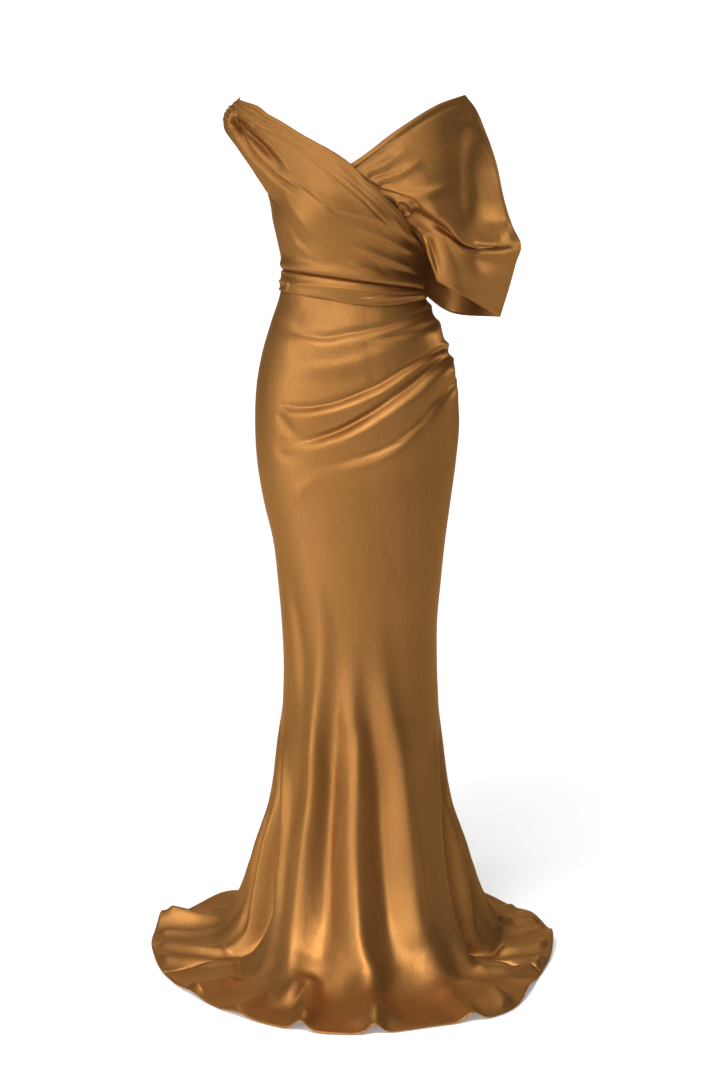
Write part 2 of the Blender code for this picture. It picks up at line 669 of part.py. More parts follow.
def skirt_back(name, side):
    """Half of the back skirt, from its side seam to the centre back seam; side is 1 on the left."""
    share = np.linspace(0, 1, SKIRT_BACK_CELLS + 1)
    level = np.array(BACK_LEVELS + PLAIN_LEVELS)[:, None] * np.ones_like(share)
    top = waist_seam(side * (90 + 90 * share)) - SEAM_GAP / 2
    level = np.concatenate([top[None], level])
    seam = side_seam(level)
    first = seam + gap_turn(seam, level)
    last = 180 - gap_turn(180.0, level)
    turn = side * (first + (last - first) * share)
    points, normal = skirt(turn, level)
    if side < 0:
        points, normal = points[:, ::-1], normal[:, ::-1]
    return wall(name, points, normal)


def waist_band():
    """Band wrapped across the front waist, made from the skirt's points."""
    station, level, points, normal = front_skirt_grid()
    station = station[0]
    top = level[0] - BAND_BELOW_SEAM
    across = np.linspace(0, 1, BAND_DOWN_CELLS + 1)[:, None]
    wanted = top + (curve(STATIONS, BAND_LOWER, station) - top) * across
    rows = np.arange(len(level))
    row = np.stack([np.interp(-want, -have, rows) for want, have in zip(wanted.T, level.T)], axis=1)
    low = row.astype(int)
    share = (row - low)[..., None]
    i = np.arange(len(station))
    under = points[low, i] * (1 - share) + points[low + 1, i] * share
    outward = unit(normal[low, i] * (1 - share) + normal[low + 1, i] * share)
    ridges = records(BAND_RIDGES, BAND_RIDGE_COLUMNS)
    rise = sum(ridge.rise * bump((across - ridge.across) / ridge.wide) for ridge in ridges)
    thickness = WALL + rise * (1 - ease((np.abs(station) - BAND_RIDGES_TO) / BAND_RIDGES_FADE))
    return wall("waist_band", under + (SEAM_GAP + thickness)[..., None] * outward, outward, thickness)


def main():
    """Clear the scene and make each piece of the dress."""
    for item in list(bpy.data.objects):
        bpy.data.objects.remove(item, do_unlink=True)
    wrap_over()
    back_right()
    sleeve_front()
    back_left()
    waist_band()
    skirt_front()
    skirt_back("skirt_back_left", 1)
    skirt_back("skirt_back_right", -1)


if __name__ == "__main__":
    main()
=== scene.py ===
"""Looks of a long draped satin dress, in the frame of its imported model.

Metres, +Z up, the front towards -Y and the wearer's left towards +X. Heights in the tables are above the floor
that the hem lies on. A place on the cloth is a turn, in degrees from the centre front towards the wearer's left,
and a level: a height down to the floor break and, past it, the way that the cloth has run out on the floor.
"""

import logging
import math
from collections.abc import Iterable, Sequence
from dataclasses import dataclass
from enum import Enum

import bpy
import numpy as np
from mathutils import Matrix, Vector


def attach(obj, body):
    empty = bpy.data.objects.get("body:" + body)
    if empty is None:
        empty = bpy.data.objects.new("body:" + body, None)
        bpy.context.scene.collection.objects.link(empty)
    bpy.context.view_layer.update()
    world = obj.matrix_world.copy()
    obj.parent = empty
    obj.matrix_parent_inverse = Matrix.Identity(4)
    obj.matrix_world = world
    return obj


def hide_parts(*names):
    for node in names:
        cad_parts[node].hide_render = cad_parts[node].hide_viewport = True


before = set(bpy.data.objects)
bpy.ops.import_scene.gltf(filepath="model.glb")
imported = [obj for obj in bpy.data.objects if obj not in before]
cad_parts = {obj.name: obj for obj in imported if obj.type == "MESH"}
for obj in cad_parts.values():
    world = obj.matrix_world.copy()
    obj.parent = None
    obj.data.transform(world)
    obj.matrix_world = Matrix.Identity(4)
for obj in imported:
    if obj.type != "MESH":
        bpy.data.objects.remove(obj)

LOG = logging.getLogger("dress")
HELD_HEIGHT = 1.45
SEAM_GAP = 0.0003
Path2 = tuple[tuple[float, float], ...]


# Shaping


def curve(knots: Sequence[float] | np.ndarray, values: Sequence | np.ndarray, at: np.ndarray | float) -> np.ndarray:
    """A smooth curve through values at knots.

    Args:
        knots: Places of the values, rising.
        values: Numbers or points at the knots.
        at: Places to read.

    Returns:
        The values there.
    """
    knots, values = np.asarray(knots, float), np.asarray(values, float)
    at = np.clip(np.asarray(at, float), knots[0], knots[-1])
    flat = values.reshape(len(knots), -1)
    slopes = np.gradient(flat, knots, axis=0)
    i = np.clip(np.searchsorted(knots, at, side="right") - 1, 0, len(knots) - 2)
    gap = (knots[i + 1] - knots[i])[..., None]
    s = ((at - knots[i]) / (knots[i + 1] - knots[i]))[..., None]
    made = flat[i] * (1 + 2 * s) * (1 - s) ** 2 + slopes[i] * gap * s * (1 - s) ** 2
    made = made + flat[i + 1] * s**2 * (3 - 2 * s) - slopes[i + 1] * gap * s**2 * (1 - s)
    return made.reshape(at.shape + values.shape[1:])


def ease(value: np.ndarray | float) -> np.ndarray:
    """0 below 0, 1 above 1 and smooth between."""
    s = np.clip(value, 0.0, 1.0)
    return s * s * (3 - 2 * s)


def bump(distance: np.ndarray | float) -> np.ndarray:
    """A round hill of height 1 at distance 0."""
    return np.exp(-np.square(distance))


def unit(vectors: np.ndarray) -> np.ndarray:
    """Vectors brought to length 1."""
    return vectors / np.maximum(np.linalg.norm(vectors, axis=-1, keepdims=True), 1e-12)


def between(first: np.ndarray | float, second: np.ndarray | float) -> np.ndarray:
    """Degrees from one turn to another, from -180 to 180."""
    return (np.asarray(first) - second + 180.0) % 360.0 - 180.0


def out_of_grid(points: np.ndarray) -> np.ndarray:
    """Directions out of a grid of points, from its own neighbours."""
    return unit(np.cross(np.gradient(points, axis=1), -np.gradient(points, axis=0)))


def spread(knots: Sequence[float], cells: Sequence[int]) -> np.ndarray:
    """Places that run through the knots with a number of cells in each span."""
    parts = [np.linspace(a, b, n, endpoint=False) for a, b, n in zip(knots, knots[1:], cells)]
    return np.concatenate([*parts, [knots[-1]]])


class Fold(Enum):
    """Sections that a crease in the cloth can have."""

    PLEAT = "an edge that looks up, with a groove above it"
    RIDGE = "a rounded ridge"
    TROUGH = "a rounded hollow"


@dataclass(frozen=True)
class Crease:
    """One fold or hollow along a line on the cloth.

    The line runs from smaller turns to larger ones, or down. Above is then the upper side or the wearer's left.
    """

    kind: Fold
    line: Path2
    rise: float
    above: float
    below: float
    groove: float = 0.0
    grows: float = 0.15
    fades: float = 0.15
    narrows: float = 1.0

    def relief(self, s: np.ndarray, t: np.ndarray, scale: float) -> np.ndarray:
        """Rise of the cloth.

        Args:
            s: Places across, in the units of the line.
            t: Places up, in metres.
            scale: Metres for one unit of s.

        Returns:
            The rise at each place, in metres.
        """
        path = np.array(self.line, float) * (scale, 1.0)
        path = curve(np.arange(len(path)), path, np.linspace(0, len(path) - 1, 6 * len(path)))
        low, high = path.min(0) - 0.10, path.max(0) + 0.10
        x, y = s * scale, t
        near = (x > low[0]) & (x < high[0]) & (y > low[1]) & (y < high[1])
        lift = np.zeros(x.shape)
        x, y = x[near], y[near]
        best, side, run = np.full(x.shape, 9.0), np.zeros(x.shape), np.zeros(x.shape)
        steps = np.linalg.norm(np.diff(path, axis=0), axis=1)
        total, gone = steps.sum(), 0.0
        for (ax, ay), (bx, by), step in zip(path, path[1:], steps):
            dx, dy = (bx - ax) / step, (by - ay) / step
            w = np.clip((x - ax) * dx + (y - ay) * dy, 0, step)
            far = np.hypot(x - ax - w * dx, y - ay - w * dy)
            closer = far < best
            cross = dx * (y - ay) - dy * (x - ax)
            best = np.where(closer, far, best)
            side = np.where(closer, np.sign(cross), side)
            run = np.where(closer, (gone + w) / total, run)
            gone += step
        share = ease(run / max(self.grows, 1e-3)) * ease((1 - run) / max(self.fades, 1e-3))
        off = best * side
        off = off / (1 + (self.narrows - 1) * run)
        if self.kind is Fold.PLEAT:
            below = np.clip(-off, 0, None)
            lip = 1 - bump(below / (1.2 * self.above))
            made = self.rise * lip * np.exp(-((below / self.below) ** 1.5)) - self.groove * bump(off / (0.5 * self.above))
        else:
            wide = np.where(off > 0, self.above, self.below)
            made = self.rise * bump(off / wide) * (1 if self.kind is Fold.RIDGE else -1)
        lift[near] = made * share
        return lift


def creased(creases: Iterable[Crease], s: np.ndarray, t: np.ndarray, scale: float = 0.0024) -> np.ndarray:
    """Rise of several creases together, in metres."""
    s, t = np.broadcast_arrays(np.asarray(s, float), np.asarray(t, float))
    return sum((crease.relief(s, t, scale) for crease in creases), np.zeros(s.shape))


# Body that the cloth stands round


@dataclass(frozen=True)
class Ring:
    """The plain body at one level, measured from the axis."""

    level: float
    height: float
    left: float
    right: float
    front: float
    back: float


@dataclass(frozen=True)
class Figure:
    """The plain body of the dress, filled out as it stands."""

    rings: tuple[Ring, ...]
    waist_height: float = 1.181
    waist_tilt: float = 0.018
    body_fullness: float = 0.07
    pool_fullness: float = -0.07
    full_from: float = -0.05
    full_by: float = 0.40
    hem: float = -0.135
    reach_turn: float = 42.0
    reach_wide: float = 14.0
    reach: float = 0.038

    def points(self, turn: np.ndarray | float, level: np.ndarray | float) -> np.ndarray:
        """Points of the plain body.

        Args:
            turn: Turns in degrees.
            level: Levels in metres.

        Returns:
            Points in the row's frame.
        """
        turn, level = np.broadcast_arrays(np.asarray(turn, float), np.asarray(level, float))
        table = np.array([(r.level, r.height, r.left, r.right, r.front, r.back) for r in self.rings])
        height, left, right, front, back = np.moveaxis(curve(table[:, 0], table[:, 1:], level), -1, 0)
        sine, cosine = np.sin(np.radians(turn)), np.cos(np.radians(turn))
        middle, half = (right - left) / 2, (right + left) / 2
        depth = np.where(cosine > 0, front, back)
        risen = ease((level - self.full_from) / (self.full_by - self.full_from))
        full = self.pool_fullness + (self.body_fullness - self.pool_fullness) * risen
        x = middle + half * sine * (1 + full * cosine**2)
        y = -depth * cosine * (1 + full * sine**2)
        farther = self.reach / np.hypot(x, y) * ease(level / self.hem) * bump(between(turn, self.reach_turn) / self.reach_wide)
        return np.stack([x * (1 + farther), y * (1 + farther), height - HELD_HEIGHT], axis=-1)

    def normals(self, turn: np.ndarray | float, level: np.ndarray | float) -> np.ndarray:
        """Directions out of the plain body."""
        turn, level = np.broadcast_arrays(np.asarray(turn, float), np.asarray(level, float))
        across = self.points(turn + 0.2, level) - self.points(turn - 0.2, level)
        up = self.points(turn, level + 0.0005) - self.points(turn, level - 0.0005)
        return unit(np.cross(across, up))

    def gap_turn(self, turn: np.ndarray | float, level: np.ndarray | float) -> np.ndarray:
        """Half a seam's gap, in degrees."""
        run = np.linalg.norm(self.points(np.add(turn, 0.2), level) - self.points(np.add(turn, -0.2), level), axis=-1)
        return SEAM_GAP / 2 / (run / 0.4)

    def waist(self, turn: np.ndarray | float) -> np.ndarray:
        """Height of the waist seam."""
        return self.waist_height - self.waist_tilt * np.sin(np.radians(turn))

    def side_seam(self, level: np.ndarray | float) -> np.ndarray:
        """Turn of the left side seam; the right one mirrors it."""
        table = ((-0.15, 66), (0.0, 64), (0.10, 60), (0.22, 61), (0.33, 68), (0.44, 82), (0.56, 90), (1.20, 90))
        levels, turns = np.array(table, float).T
        return curve(levels, turns, level)


FIGURE = Figure(
    rings=(
        Ring(-0.150, 0.0024, 0.388, 0.358, 0.456, 0.328),
        Ring(-0.100, 0.0028, 0.341, 0.318, 0.406, 0.300),
        Ring(-0.050, 0.0050, 0.290, 0.276, 0.353, 0.276),
        Ring(0.000, 0.0160, 0.244, 0.240, 0.304, 0.258),
        Ring(0.045, 0.0480, 0.212, 0.214, 0.262, 0.236),
        Ring(0.094, 0.0940, 0.191, 0.194, 0.227, 0.217),
        Ring(0.150, 0.1500, 0.177, 0.180, 0.195, 0.198),
        Ring(0.224, 0.2240, 0.163, 0.165, 0.165, 0.176),
        Ring(0.297, 0.2970, 0.152, 0.153, 0.142, 0.156),
        Ring(0.370, 0.3700, 0.146, 0.146, 0.125, 0.138),
        Ring(0.443, 0.4430, 0.137, 0.139, 0.112, 0.122),
        Ring(0.515, 0.5150, 0.135, 0.136, 0.105, 0.110),
        Ring(0.587, 0.5870, 0.138, 0.136, 0.104, 0.106),
        Ring(0.659, 0.6590, 0.144, 0.142, 0.107, 0.108),
        Ring(0.730, 0.7300, 0.152, 0.149, 0.110, 0.116),
        Ring(0.800, 0.8000, 0.168, 0.158, 0.113, 0.130),
        Ring(0.870, 0.8700, 0.179, 0.167, 0.115, 0.140),
        Ring(0.940, 0.9400, 0.182, 0.172, 0.116, 0.140),
        Ring(1.009, 1.0090, 0.178, 0.164, 0.114, 0.128),
        Ring(1.060, 1.0600, 0.168, 0.151, 0.110, 0.112),
        Ring(1.110, 1.1100, 0.153, 0.132, 0.102, 0.096),
        Ring(1.160, 1.1600, 0.137, 0.110, 0.095, 0.086),
        Ring(1.200, 1.2000, 0.133, 0.105, 0.098, 0.088),
        Ring(1.240, 1.2400, 0.139, 0.112, 0.108, 0.094),
        Ring(1.280, 1.2800, 0.147, 0.123, 0.119, 0.100),
        Ring(1.320, 1.3200, 0.156, 0.136, 0.122, 0.104),
        Ring(1.360, 1.3600, 0.190, 0.150, 0.113, 0.102),
        Ring(1.400, 1.4000, 0.217, 0.163, 0.094, 0.092),
        Ring(1.440, 1.4400, 0.232, 0.173, 0.066, 0.070),
        Ring(1.470, 1.4700, 0.222, 0.180, 0.040, 0.042),
        Ring(1.490, 1.4900, 0.201, 0.184, 0.018, 0.018),
    )
)


# Finishes


class Sockets:
    """Short ways to build shader trees."""

    def __init__(self, tree: bpy.types.NodeTree) -> None:
        """Keeps the tree that nodes are added to."""
        self.tree = tree

    def node(self, kind: str, inputs: dict | None = None, **settings: object) -> bpy.types.Node:
        """Adds a node.

        Args:
            kind: Type name of the node.
            inputs: Values or linked sockets by input name or number.
            settings: Properties of the node.

        Returns:
            The new node.
        """
        made = self.tree.nodes.new(kind)
        for name, value in settings.items():
            setattr(made, name, value)
        for name, value in (inputs or {}).items():
            if isinstance(value, bpy.types.NodeSocket):
                self.tree.links.new(value, made.inputs[name])
            else:
                made.inputs[name].default_value = value
        return made

    def maths(self, operation: str, first: object, second: object = 0.0, clamp: bool = False) -> bpy.types.NodeSocket:
        """Output of a Math node."""
        return self.node("ShaderNodeMath", {0: first, 1: second}, operation=operation, use_clamp=clamp).outputs[0]

    def remap(self, value: object, low: float, high: float, to_low: float = 0.0, to_high: float = 1.0) -> bpy.types.NodeSocket:
        """Output of a clamped Map Range node."""
        inputs = {"Value": value, "From Min": low, "From Max": high, "To Min": to_low, "To Max": to_high}
        return self.node("ShaderNodeMapRange", inputs).outputs["Result"]

    def blend(self, factor: object, first: object, second: object, way: str = "MIX") -> bpy.types.NodeSocket:
        """Colour output of a Mix node."""
        made = self.node("ShaderNodeMix", data_type="RGBA", blend_type=way)
        for name, value in (("Factor", factor), ("A", first), ("B", second)):
            socket = next(s for s in made.inputs if s.name == name and s.type in ("RGBA", "VALUE") and s.enabled)
            if isinstance(value, bpy.types.NodeSocket):
                self.tree.links.new(value, socket)
            else:
                socket.default_value = value
        return next(s for s in made.outputs if s.type == "RGBA")


def group(name: str, inputs: dict[str, float], outputs: Sequence[tuple[str, str]]) -> tuple[bpy.types.NodeTree, Sockets, bpy.types.Node, bpy.types.Node]:
    """Starts a shader node group.

    Args:
        name: Name of the group.
        inputs: Number inputs with their usual values; a name that starts with Vector is a vector.
        outputs: Names and socket types of the outputs.

    Returns:
        The tree, its builder, its input node and its output node.
    """
    tree = bpy.data.node_groups.new(name, "ShaderNodeTree")
    for label, value in inputs.items():
        kind = "NodeSocketVector" if label.startswith("Vector") else "NodeSocketFloat"
        socket = tree.interface.new_socket(label, in_out="INPUT", socket_type=kind)
        if kind == "NodeSocketFloat":
            socket.default_value = value
    for label, kind in outputs:
        tree.interface.new_socket(label, in_out="OUTPUT", socket_type=kind)
    make = Sockets(tree)
    return tree, make, make.node("NodeGroupInput"), make.node("NodeGroupOutput")


def weave_group() -> bpy.types.NodeTree:
    """Satin weave: fine floats along the cloth with slight slubs, as a height and a mask."""
    tree, make, given, result = group(
        "satin weave", {"Vector": 0.0, "Threads": 900.0, "Slub": 0.5}, (("Height", "NodeSocketFloat"), ("Lustre", "NodeSocketFloat"))
    )
    split = make.node("ShaderNodeSeparateXYZ", {0: given.outputs["Vector"]})
    across = make.maths("MULTIPLY", split.outputs[0], given.outputs["Threads"])
    down = make.maths("MULTIPLY", split.outputs[1], make.maths("MULTIPLY", given.outputs["Threads"], 0.22))
    slant = make.maths("ADD", across, make.maths("MULTIPLY", down, 0.5))
    floats = make.maths("SINE", make.maths("MULTIPLY", slant, 2 * math.pi))
    picks = make.maths("SINE", make.maths("MULTIPLY", make.maths("ADD", down, make.maths("MULTIPLY", across, 0.2)), 2 * math.pi))
    thread = make.node("ShaderNodeCombineXYZ", {0: make.maths("MULTIPLY", across, 0.6), 1: make.maths("MULTIPLY", down, 0.2)})
    slubs = make.node("ShaderNodeTexNoise", {"Vector": thread.outputs[0], "Scale": 1.0, "Detail": 2.0})
    height = make.maths("ADD", make.maths("MULTIPLY", floats, 0.5), make.maths("MULTIPLY", picks, 0.25))
    height = make.maths("ADD", height, make.maths("MULTIPLY", slubs.outputs[0], given.outputs["Slub"]))
    tree.links.new(height, result.inputs["Height"])
    tree.links.new(slubs.outputs[0], result.inputs["Lustre"])
    return tree


def rumple_group() -> bpy.types.NodeTree:
    """Soft rumples of handled satin at two sizes, as a height and a broad patch mask."""
    tree, make, given, result = group(
        "soft rumples",
        {"Vector": 0.0, "Size": 30.0, "Stretch": 0.35, "Lean": 0.5, "Crinkle": 0.15},
        (("Height", "NodeSocketFloat"), ("Patches", "NodeSocketFloat")),
    )
    split = make.node("ShaderNodeSeparateXYZ", {0: given.outputs["Vector"]})
    leaning = make.maths("ADD", split.outputs[0], make.maths("MULTIPLY", split.outputs[2], given.outputs["Lean"]))
    drawn = make.node(
        "ShaderNodeCombineXYZ",
        {0: leaning, 1: split.outputs[1], 2: make.maths("MULTIPLY", split.outputs[2], given.outputs["Stretch"])},
    )
    soft = make.node("ShaderNodeTexNoise", {"Vector": drawn.outputs[0], "Scale": given.outputs["Size"], "Detail": 1.5, "Distortion": 0.6})
    fine = make.node("ShaderNodeTexNoise", {"Vector": drawn.outputs[0], "Scale": make.maths("MULTIPLY", given.outputs["Size"], 3.1), "Detail": 2.0})
    broad = make.node("ShaderNodeTexNoise", {"Vector": given.outputs["Vector"], "Scale": 4.5, "Detail": 2.0})
    height = make.maths("ADD", soft.outputs[0], make.maths("MULTIPLY", fine.outputs[0], 0.20))
    crinkle = make.node("ShaderNodeTexNoise", {"Vector": given.outputs["Vector"], "Scale": 150.0, "Detail": 3.0, "Roughness": 0.6})
    height = make.maths("ADD", height, make.maths("MULTIPLY", crinkle.outputs[0], given.outputs["Crinkle"]))
    tree.links.new(height, result.inputs["Height"])
    tree.links.new(broad.outputs[0], result.inputs["Patches"])
    return tree


@dataclass(frozen=True)
class Satin:
    """Heavy bronze satin with a soft tinted sheen."""

    name: str = "bronze satin"
    shade: tuple[float, float, float] = (0.322, 0.147, 0.042)
    light: tuple[float, float, float] = (0.400, 0.190, 0.060)
    dark: tuple[float, float, float] = (0.275, 0.113, 0.025)
    roughness: float = 0.47
    metallic: float = 0.84
    rumple: float = 0.002
    rumple_size: float = 26.0
    stretch: float = 0.35
    lean: float = 0.5

    def material(self, weave: bpy.types.NodeTree, rumples: bpy.types.NodeTree) -> bpy.types.Material:
        """Builds the material.

        Args:
            weave: The weave group.
            rumples: The group of soft rumples.

        Returns:
            The material.
        """
        made = bpy.data.materials.new(self.name)
        made.use_nodes = True
        make = Sockets(made.node_tree)
        shader = made.node_tree.nodes["Principled BSDF"]
        where = make.node("ShaderNodeTexCoord")
        thread = make.node("ShaderNodeUVMap", uv_map="cloth")
        woven = make.node("ShaderNodeGroup", node_tree=weave)
        made.node_tree.links.new(thread.outputs[0], woven.inputs["Vector"])
        soft = make.node("ShaderNodeGroup", node_tree=rumples)
        made.node_tree.links.new(where.outputs["Object"], soft.inputs["Vector"])
        soft.inputs["Size"].default_value = self.rumple_size
        soft.inputs["Stretch"].default_value = self.stretch
        soft.inputs["Lean"].default_value = self.lean
        patches = make.remap(soft.outputs["Patches"], 0.35, 0.65)
        shade = make.blend(patches, (*self.dark, 1), (*self.shade, 1))
        shade = make.blend(0.55, shade, (*self.shade, 1))
        lustre = make.remap(woven.outputs["Lustre"], 0.35, 0.70, 0.0, 0.22)
        shade = make.blend(lustre, shade, (*self.light, 1))
        made.node_tree.links.new(shade, shader.inputs["Base Color"])
        rough = make.remap(woven.outputs["Lustre"], 0.3, 0.7, self.roughness + 0.04, self.roughness - 0.04)
        rough = make.maths("ADD", rough, make.remap(soft.outputs["Patches"], 0.3, 0.7, -0.03, 0.03))
        made.node_tree.links.new(rough, shader.inputs["Roughness"])
        shader.inputs["Metallic"].default_value = self.metallic
        shader.inputs["Specular IOR Level"].default_value = 0.20
        shader.inputs["Specular Tint"].default_value = (0.85, 0.62, 0.40, 1)
        shader.inputs["Sheen Weight"].default_value = 0.04
        shader.inputs["Sheen Roughness"].default_value = 0.45
        shader.inputs["Sheen Tint"].default_value = (0.95, 0.66, 0.36, 1)
        rumpled = make.node("ShaderNodeBump", {"Height": soft.outputs["Height"], "Strength": 1.0, "Distance": self.rumple})
        final = make.node(
            "ShaderNodeBump",
            {"Height": woven.outputs["Height"], "Strength": 0.35, "Distance": 0.00012, "Normal": rumpled.outputs[0]},
        )
        made.node_tree.links.new(final.outputs[0], shader.inputs["Normal"])
        return made


# Stitches


class Stitching:
    """Rows of small stitches, set by Geometry Nodes along a line of points."""

    def __init__(self, thread: bpy.types.Material) -> None:
        """Builds the tree once for all rows."""
        self.thread = thread
        self.tree = self.build_tree()

    def build_tree(self) -> bpy.types.NodeTree:
        """Geometry Nodes tree with named inputs: a line in, realized stitches out.

        Returns:
            The tree.
        """
        tree = bpy.data.node_groups.new("stitches along a line", "GeometryNodeTree")
        inputs = (
            ("Line", "NodeSocketGeometry", None),
            ("Spacing", "NodeSocketFloat", 0.0045),
            ("Length", "NodeSocketFloat", 0.0026),
            ("Thickness", "NodeSocketFloat", 0.0004),
            ("Unevenness", "NodeSocketFloat", 0.15),
            ("Seed", "NodeSocketInt", 7),
            ("Thread", "NodeSocketMaterial", None),
        )
        for label, kind, value in inputs:
            socket = tree.interface.new_socket(label, in_out="INPUT", socket_type=kind)
            if value is not None:
                socket.default_value = value
        tree.interface.new_socket("Stitches", in_out="OUTPUT", socket_type="NodeSocketGeometry")
        make = Sockets(tree)
        given = make.node("NodeGroupInput").outputs
        line = make.node("GeometryNodeMeshToCurve", {"Mesh": given["Line"]})
        spaced = make.node("GeometryNodeResampleCurve", {"Curve": line.outputs[0], "Length": given["Spacing"]}, mode="LENGTH")
        along_line = make.node("FunctionNodeAlignRotationToVector", {"Vector": make.node("GeometryNodeInputTangent").outputs[0]}, axis="Z")
        low = make.node("ShaderNodeMath", {0: 1.0, 1: given["Unevenness"]}, operation="SUBTRACT").outputs[0]
        high = make.node("ShaderNodeMath", {0: 1.0, 1: given["Unevenness"]}, operation="ADD").outputs[0]
        uneven = make.node("FunctionNodeRandomValue", {2: low, 3: high, 8: given["Seed"]}, data_type="FLOAT")
        long = make.node("ShaderNodeMath", {0: given["Length"], 1: uneven.outputs[1]}, operation="MULTIPLY").outputs[0]
        half = make.node("ShaderNodeMath", {0: long, 1: 0.5}, operation="MULTIPLY").outputs[0]
        size = make.node("ShaderNodeCombineXYZ", {0: given["Thickness"], 1: given["Thickness"], 2: half})
        stitch = make.node("GeometryNodeMeshUVSphere", {"Segments": 6, "Rings": 4, "Radius": 1.0})
        placed = make.node(
            "GeometryNodeInstanceOnPoints",
            {"Points": spaced.outputs[0], "Instance": stitch.outputs[0], "Rotation": along_line.outputs[0], "Scale": size.outputs[0]},
        )
        real = make.node("GeometryNodeRealizeInstances", {"Geometry": placed.outputs[0]})
        finished = make.node("GeometryNodeSetMaterial", {"Geometry": real.outputs[0], "Material": given["Thread"]})
        tree.links.new(finished.outputs[0], make.node("NodeGroupOutput").inputs[0])
        return tree

    def row(self, name: str, points: np.ndarray, seed: int) -> bpy.types.Object:
        """Makes one row of stitches as a plain mesh.

        Args:
            name: Name of the row.
            points: Points of the line that the stitches follow.
            seed: Seed of their uneven lengths.

        Returns:
            The object, linked to the scene.
        """
        mesh = bpy.data.meshes.new(name)
        mesh.from_pydata(points.tolist(), [(i, i + 1) for i in range(len(points) - 1)], [])
        made = bpy.data.objects.new(name, mesh)
        bpy.context.scene.collection.objects.link(made)
        maker = made.modifiers.new("stitches", "NODES")
        maker.node_group = self.tree
        values = {"Seed": seed, "Thread": self.thread}
        for item in self.tree.interface.items_tree:
            if item.in_out == "INPUT" and item.name in values:
                maker[item.identifier] = values[item.name]
        ready = made.evaluated_get(bpy.context.evaluated_depsgraph_get())
        sewn = bpy.data.meshes.new_from_object(ready)
        made.modifiers.remove(maker)
        made.data = sewn
        sewn.shade_smooth()
        return made


# Panels


@dataclass(frozen=True)
class Cut:
    width: float
    length: float
    area: float
    held: str


@dataclass
class Panel:
    """A cut piece of the dress: a thin closed wall on the form of its solid."""

    name: str
    node: str
    cut: Cut
    satin: bpy.types.Material
    stitching: Stitching
    wall: float = 0.0011
    turned: tuple[str, ...] = ()
    turned_wall: float = 0.0007
    turned_wide: float = 0.009
    stitch_in: float = 0.0022

    def surface(self) -> tuple[np.ndarray, np.ndarray]:
        """Grids of points on the outer face and of directions out of it."""
        raise NotImplementedError

    def edge_distance(self, points: np.ndarray) -> dict[str, np.ndarray]:
        """How far each point is from each edge, along the cloth."""
        down = np.concatenate([np.zeros((1, points.shape[1])), np.cumsum(np.linalg.norm(np.diff(points, axis=0), axis=-1), axis=0)])
        across = np.concatenate([np.zeros((points.shape[0], 1)), np.cumsum(np.linalg.norm(np.diff(points, axis=1), axis=-1), axis=1)], axis=1)
        return {"top": down, "bottom": down[-1] - down, "first": across, "last": across[:, -1:] - across}

    def build(self) -> bpy.types.Object:
        """Returns:
            The panel's object.
        """
        outer, outward = self.surface()
        away = self.edge_distance(outer)
        thick = np.full(outer.shape[:2], self.wall)
        for side in self.turned:
            thick = thick + self.turned_wall * (1 - ease((away[side] - self.turned_wide + 0.002) / 0.002))
            outer = outer + (self.turned_wall * (1 - ease((away[side] - self.turned_wide + 0.0015) / 0.003)))[..., None] * outward
        made = closed_wall(self.name, outer, outward, thick, np.stack([away["first"], away["top"]], axis=-1), self.satin)
        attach(made, "root")
        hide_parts(self.node)
        rows = [self.stitches(side, outer, outward, away[side]) for side in self.turned]
        LOG.info("%s: %d faces", self.name, len(made.data.polygons))
        return made


    def stitches(self, side: str, outer: np.ndarray, outward: np.ndarray, away: np.ndarray) -> bpy.types.Object:
        """Sews the turned edge on one side down.

        Args:
            side: The side, top or bottom.
            outer: Points of the outer face.
            outward: Directions out of it.
            away: How far each point is from that side.

        Returns:
            The row of stitches.
        """
        target = self.turned_wide - self.stitch_in
        rows = slice(None) if side == "top" else slice(None, None, -1)
        far, points, out = away[rows], outer[rows], outward[rows]
        columns = np.arange(far.shape[1])
        after = np.argmax(far > target, axis=0)
        before = after - 1
        share = ((target - far[before, columns]) / (far[after, columns] - far[before, columns]))[:, None]
        line = points[before, columns] * (1 - share) + points[after, columns] * share + out[after, columns] * 0.00015
        made = self.stitching.row(f"{self.name}_{side}_stitches", line[2:-2], seed=len(self.name) + len(side))
        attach(made, "root")
        LOG.info("%s: %d faces", made.name, len(made.data.polygons))
        return made


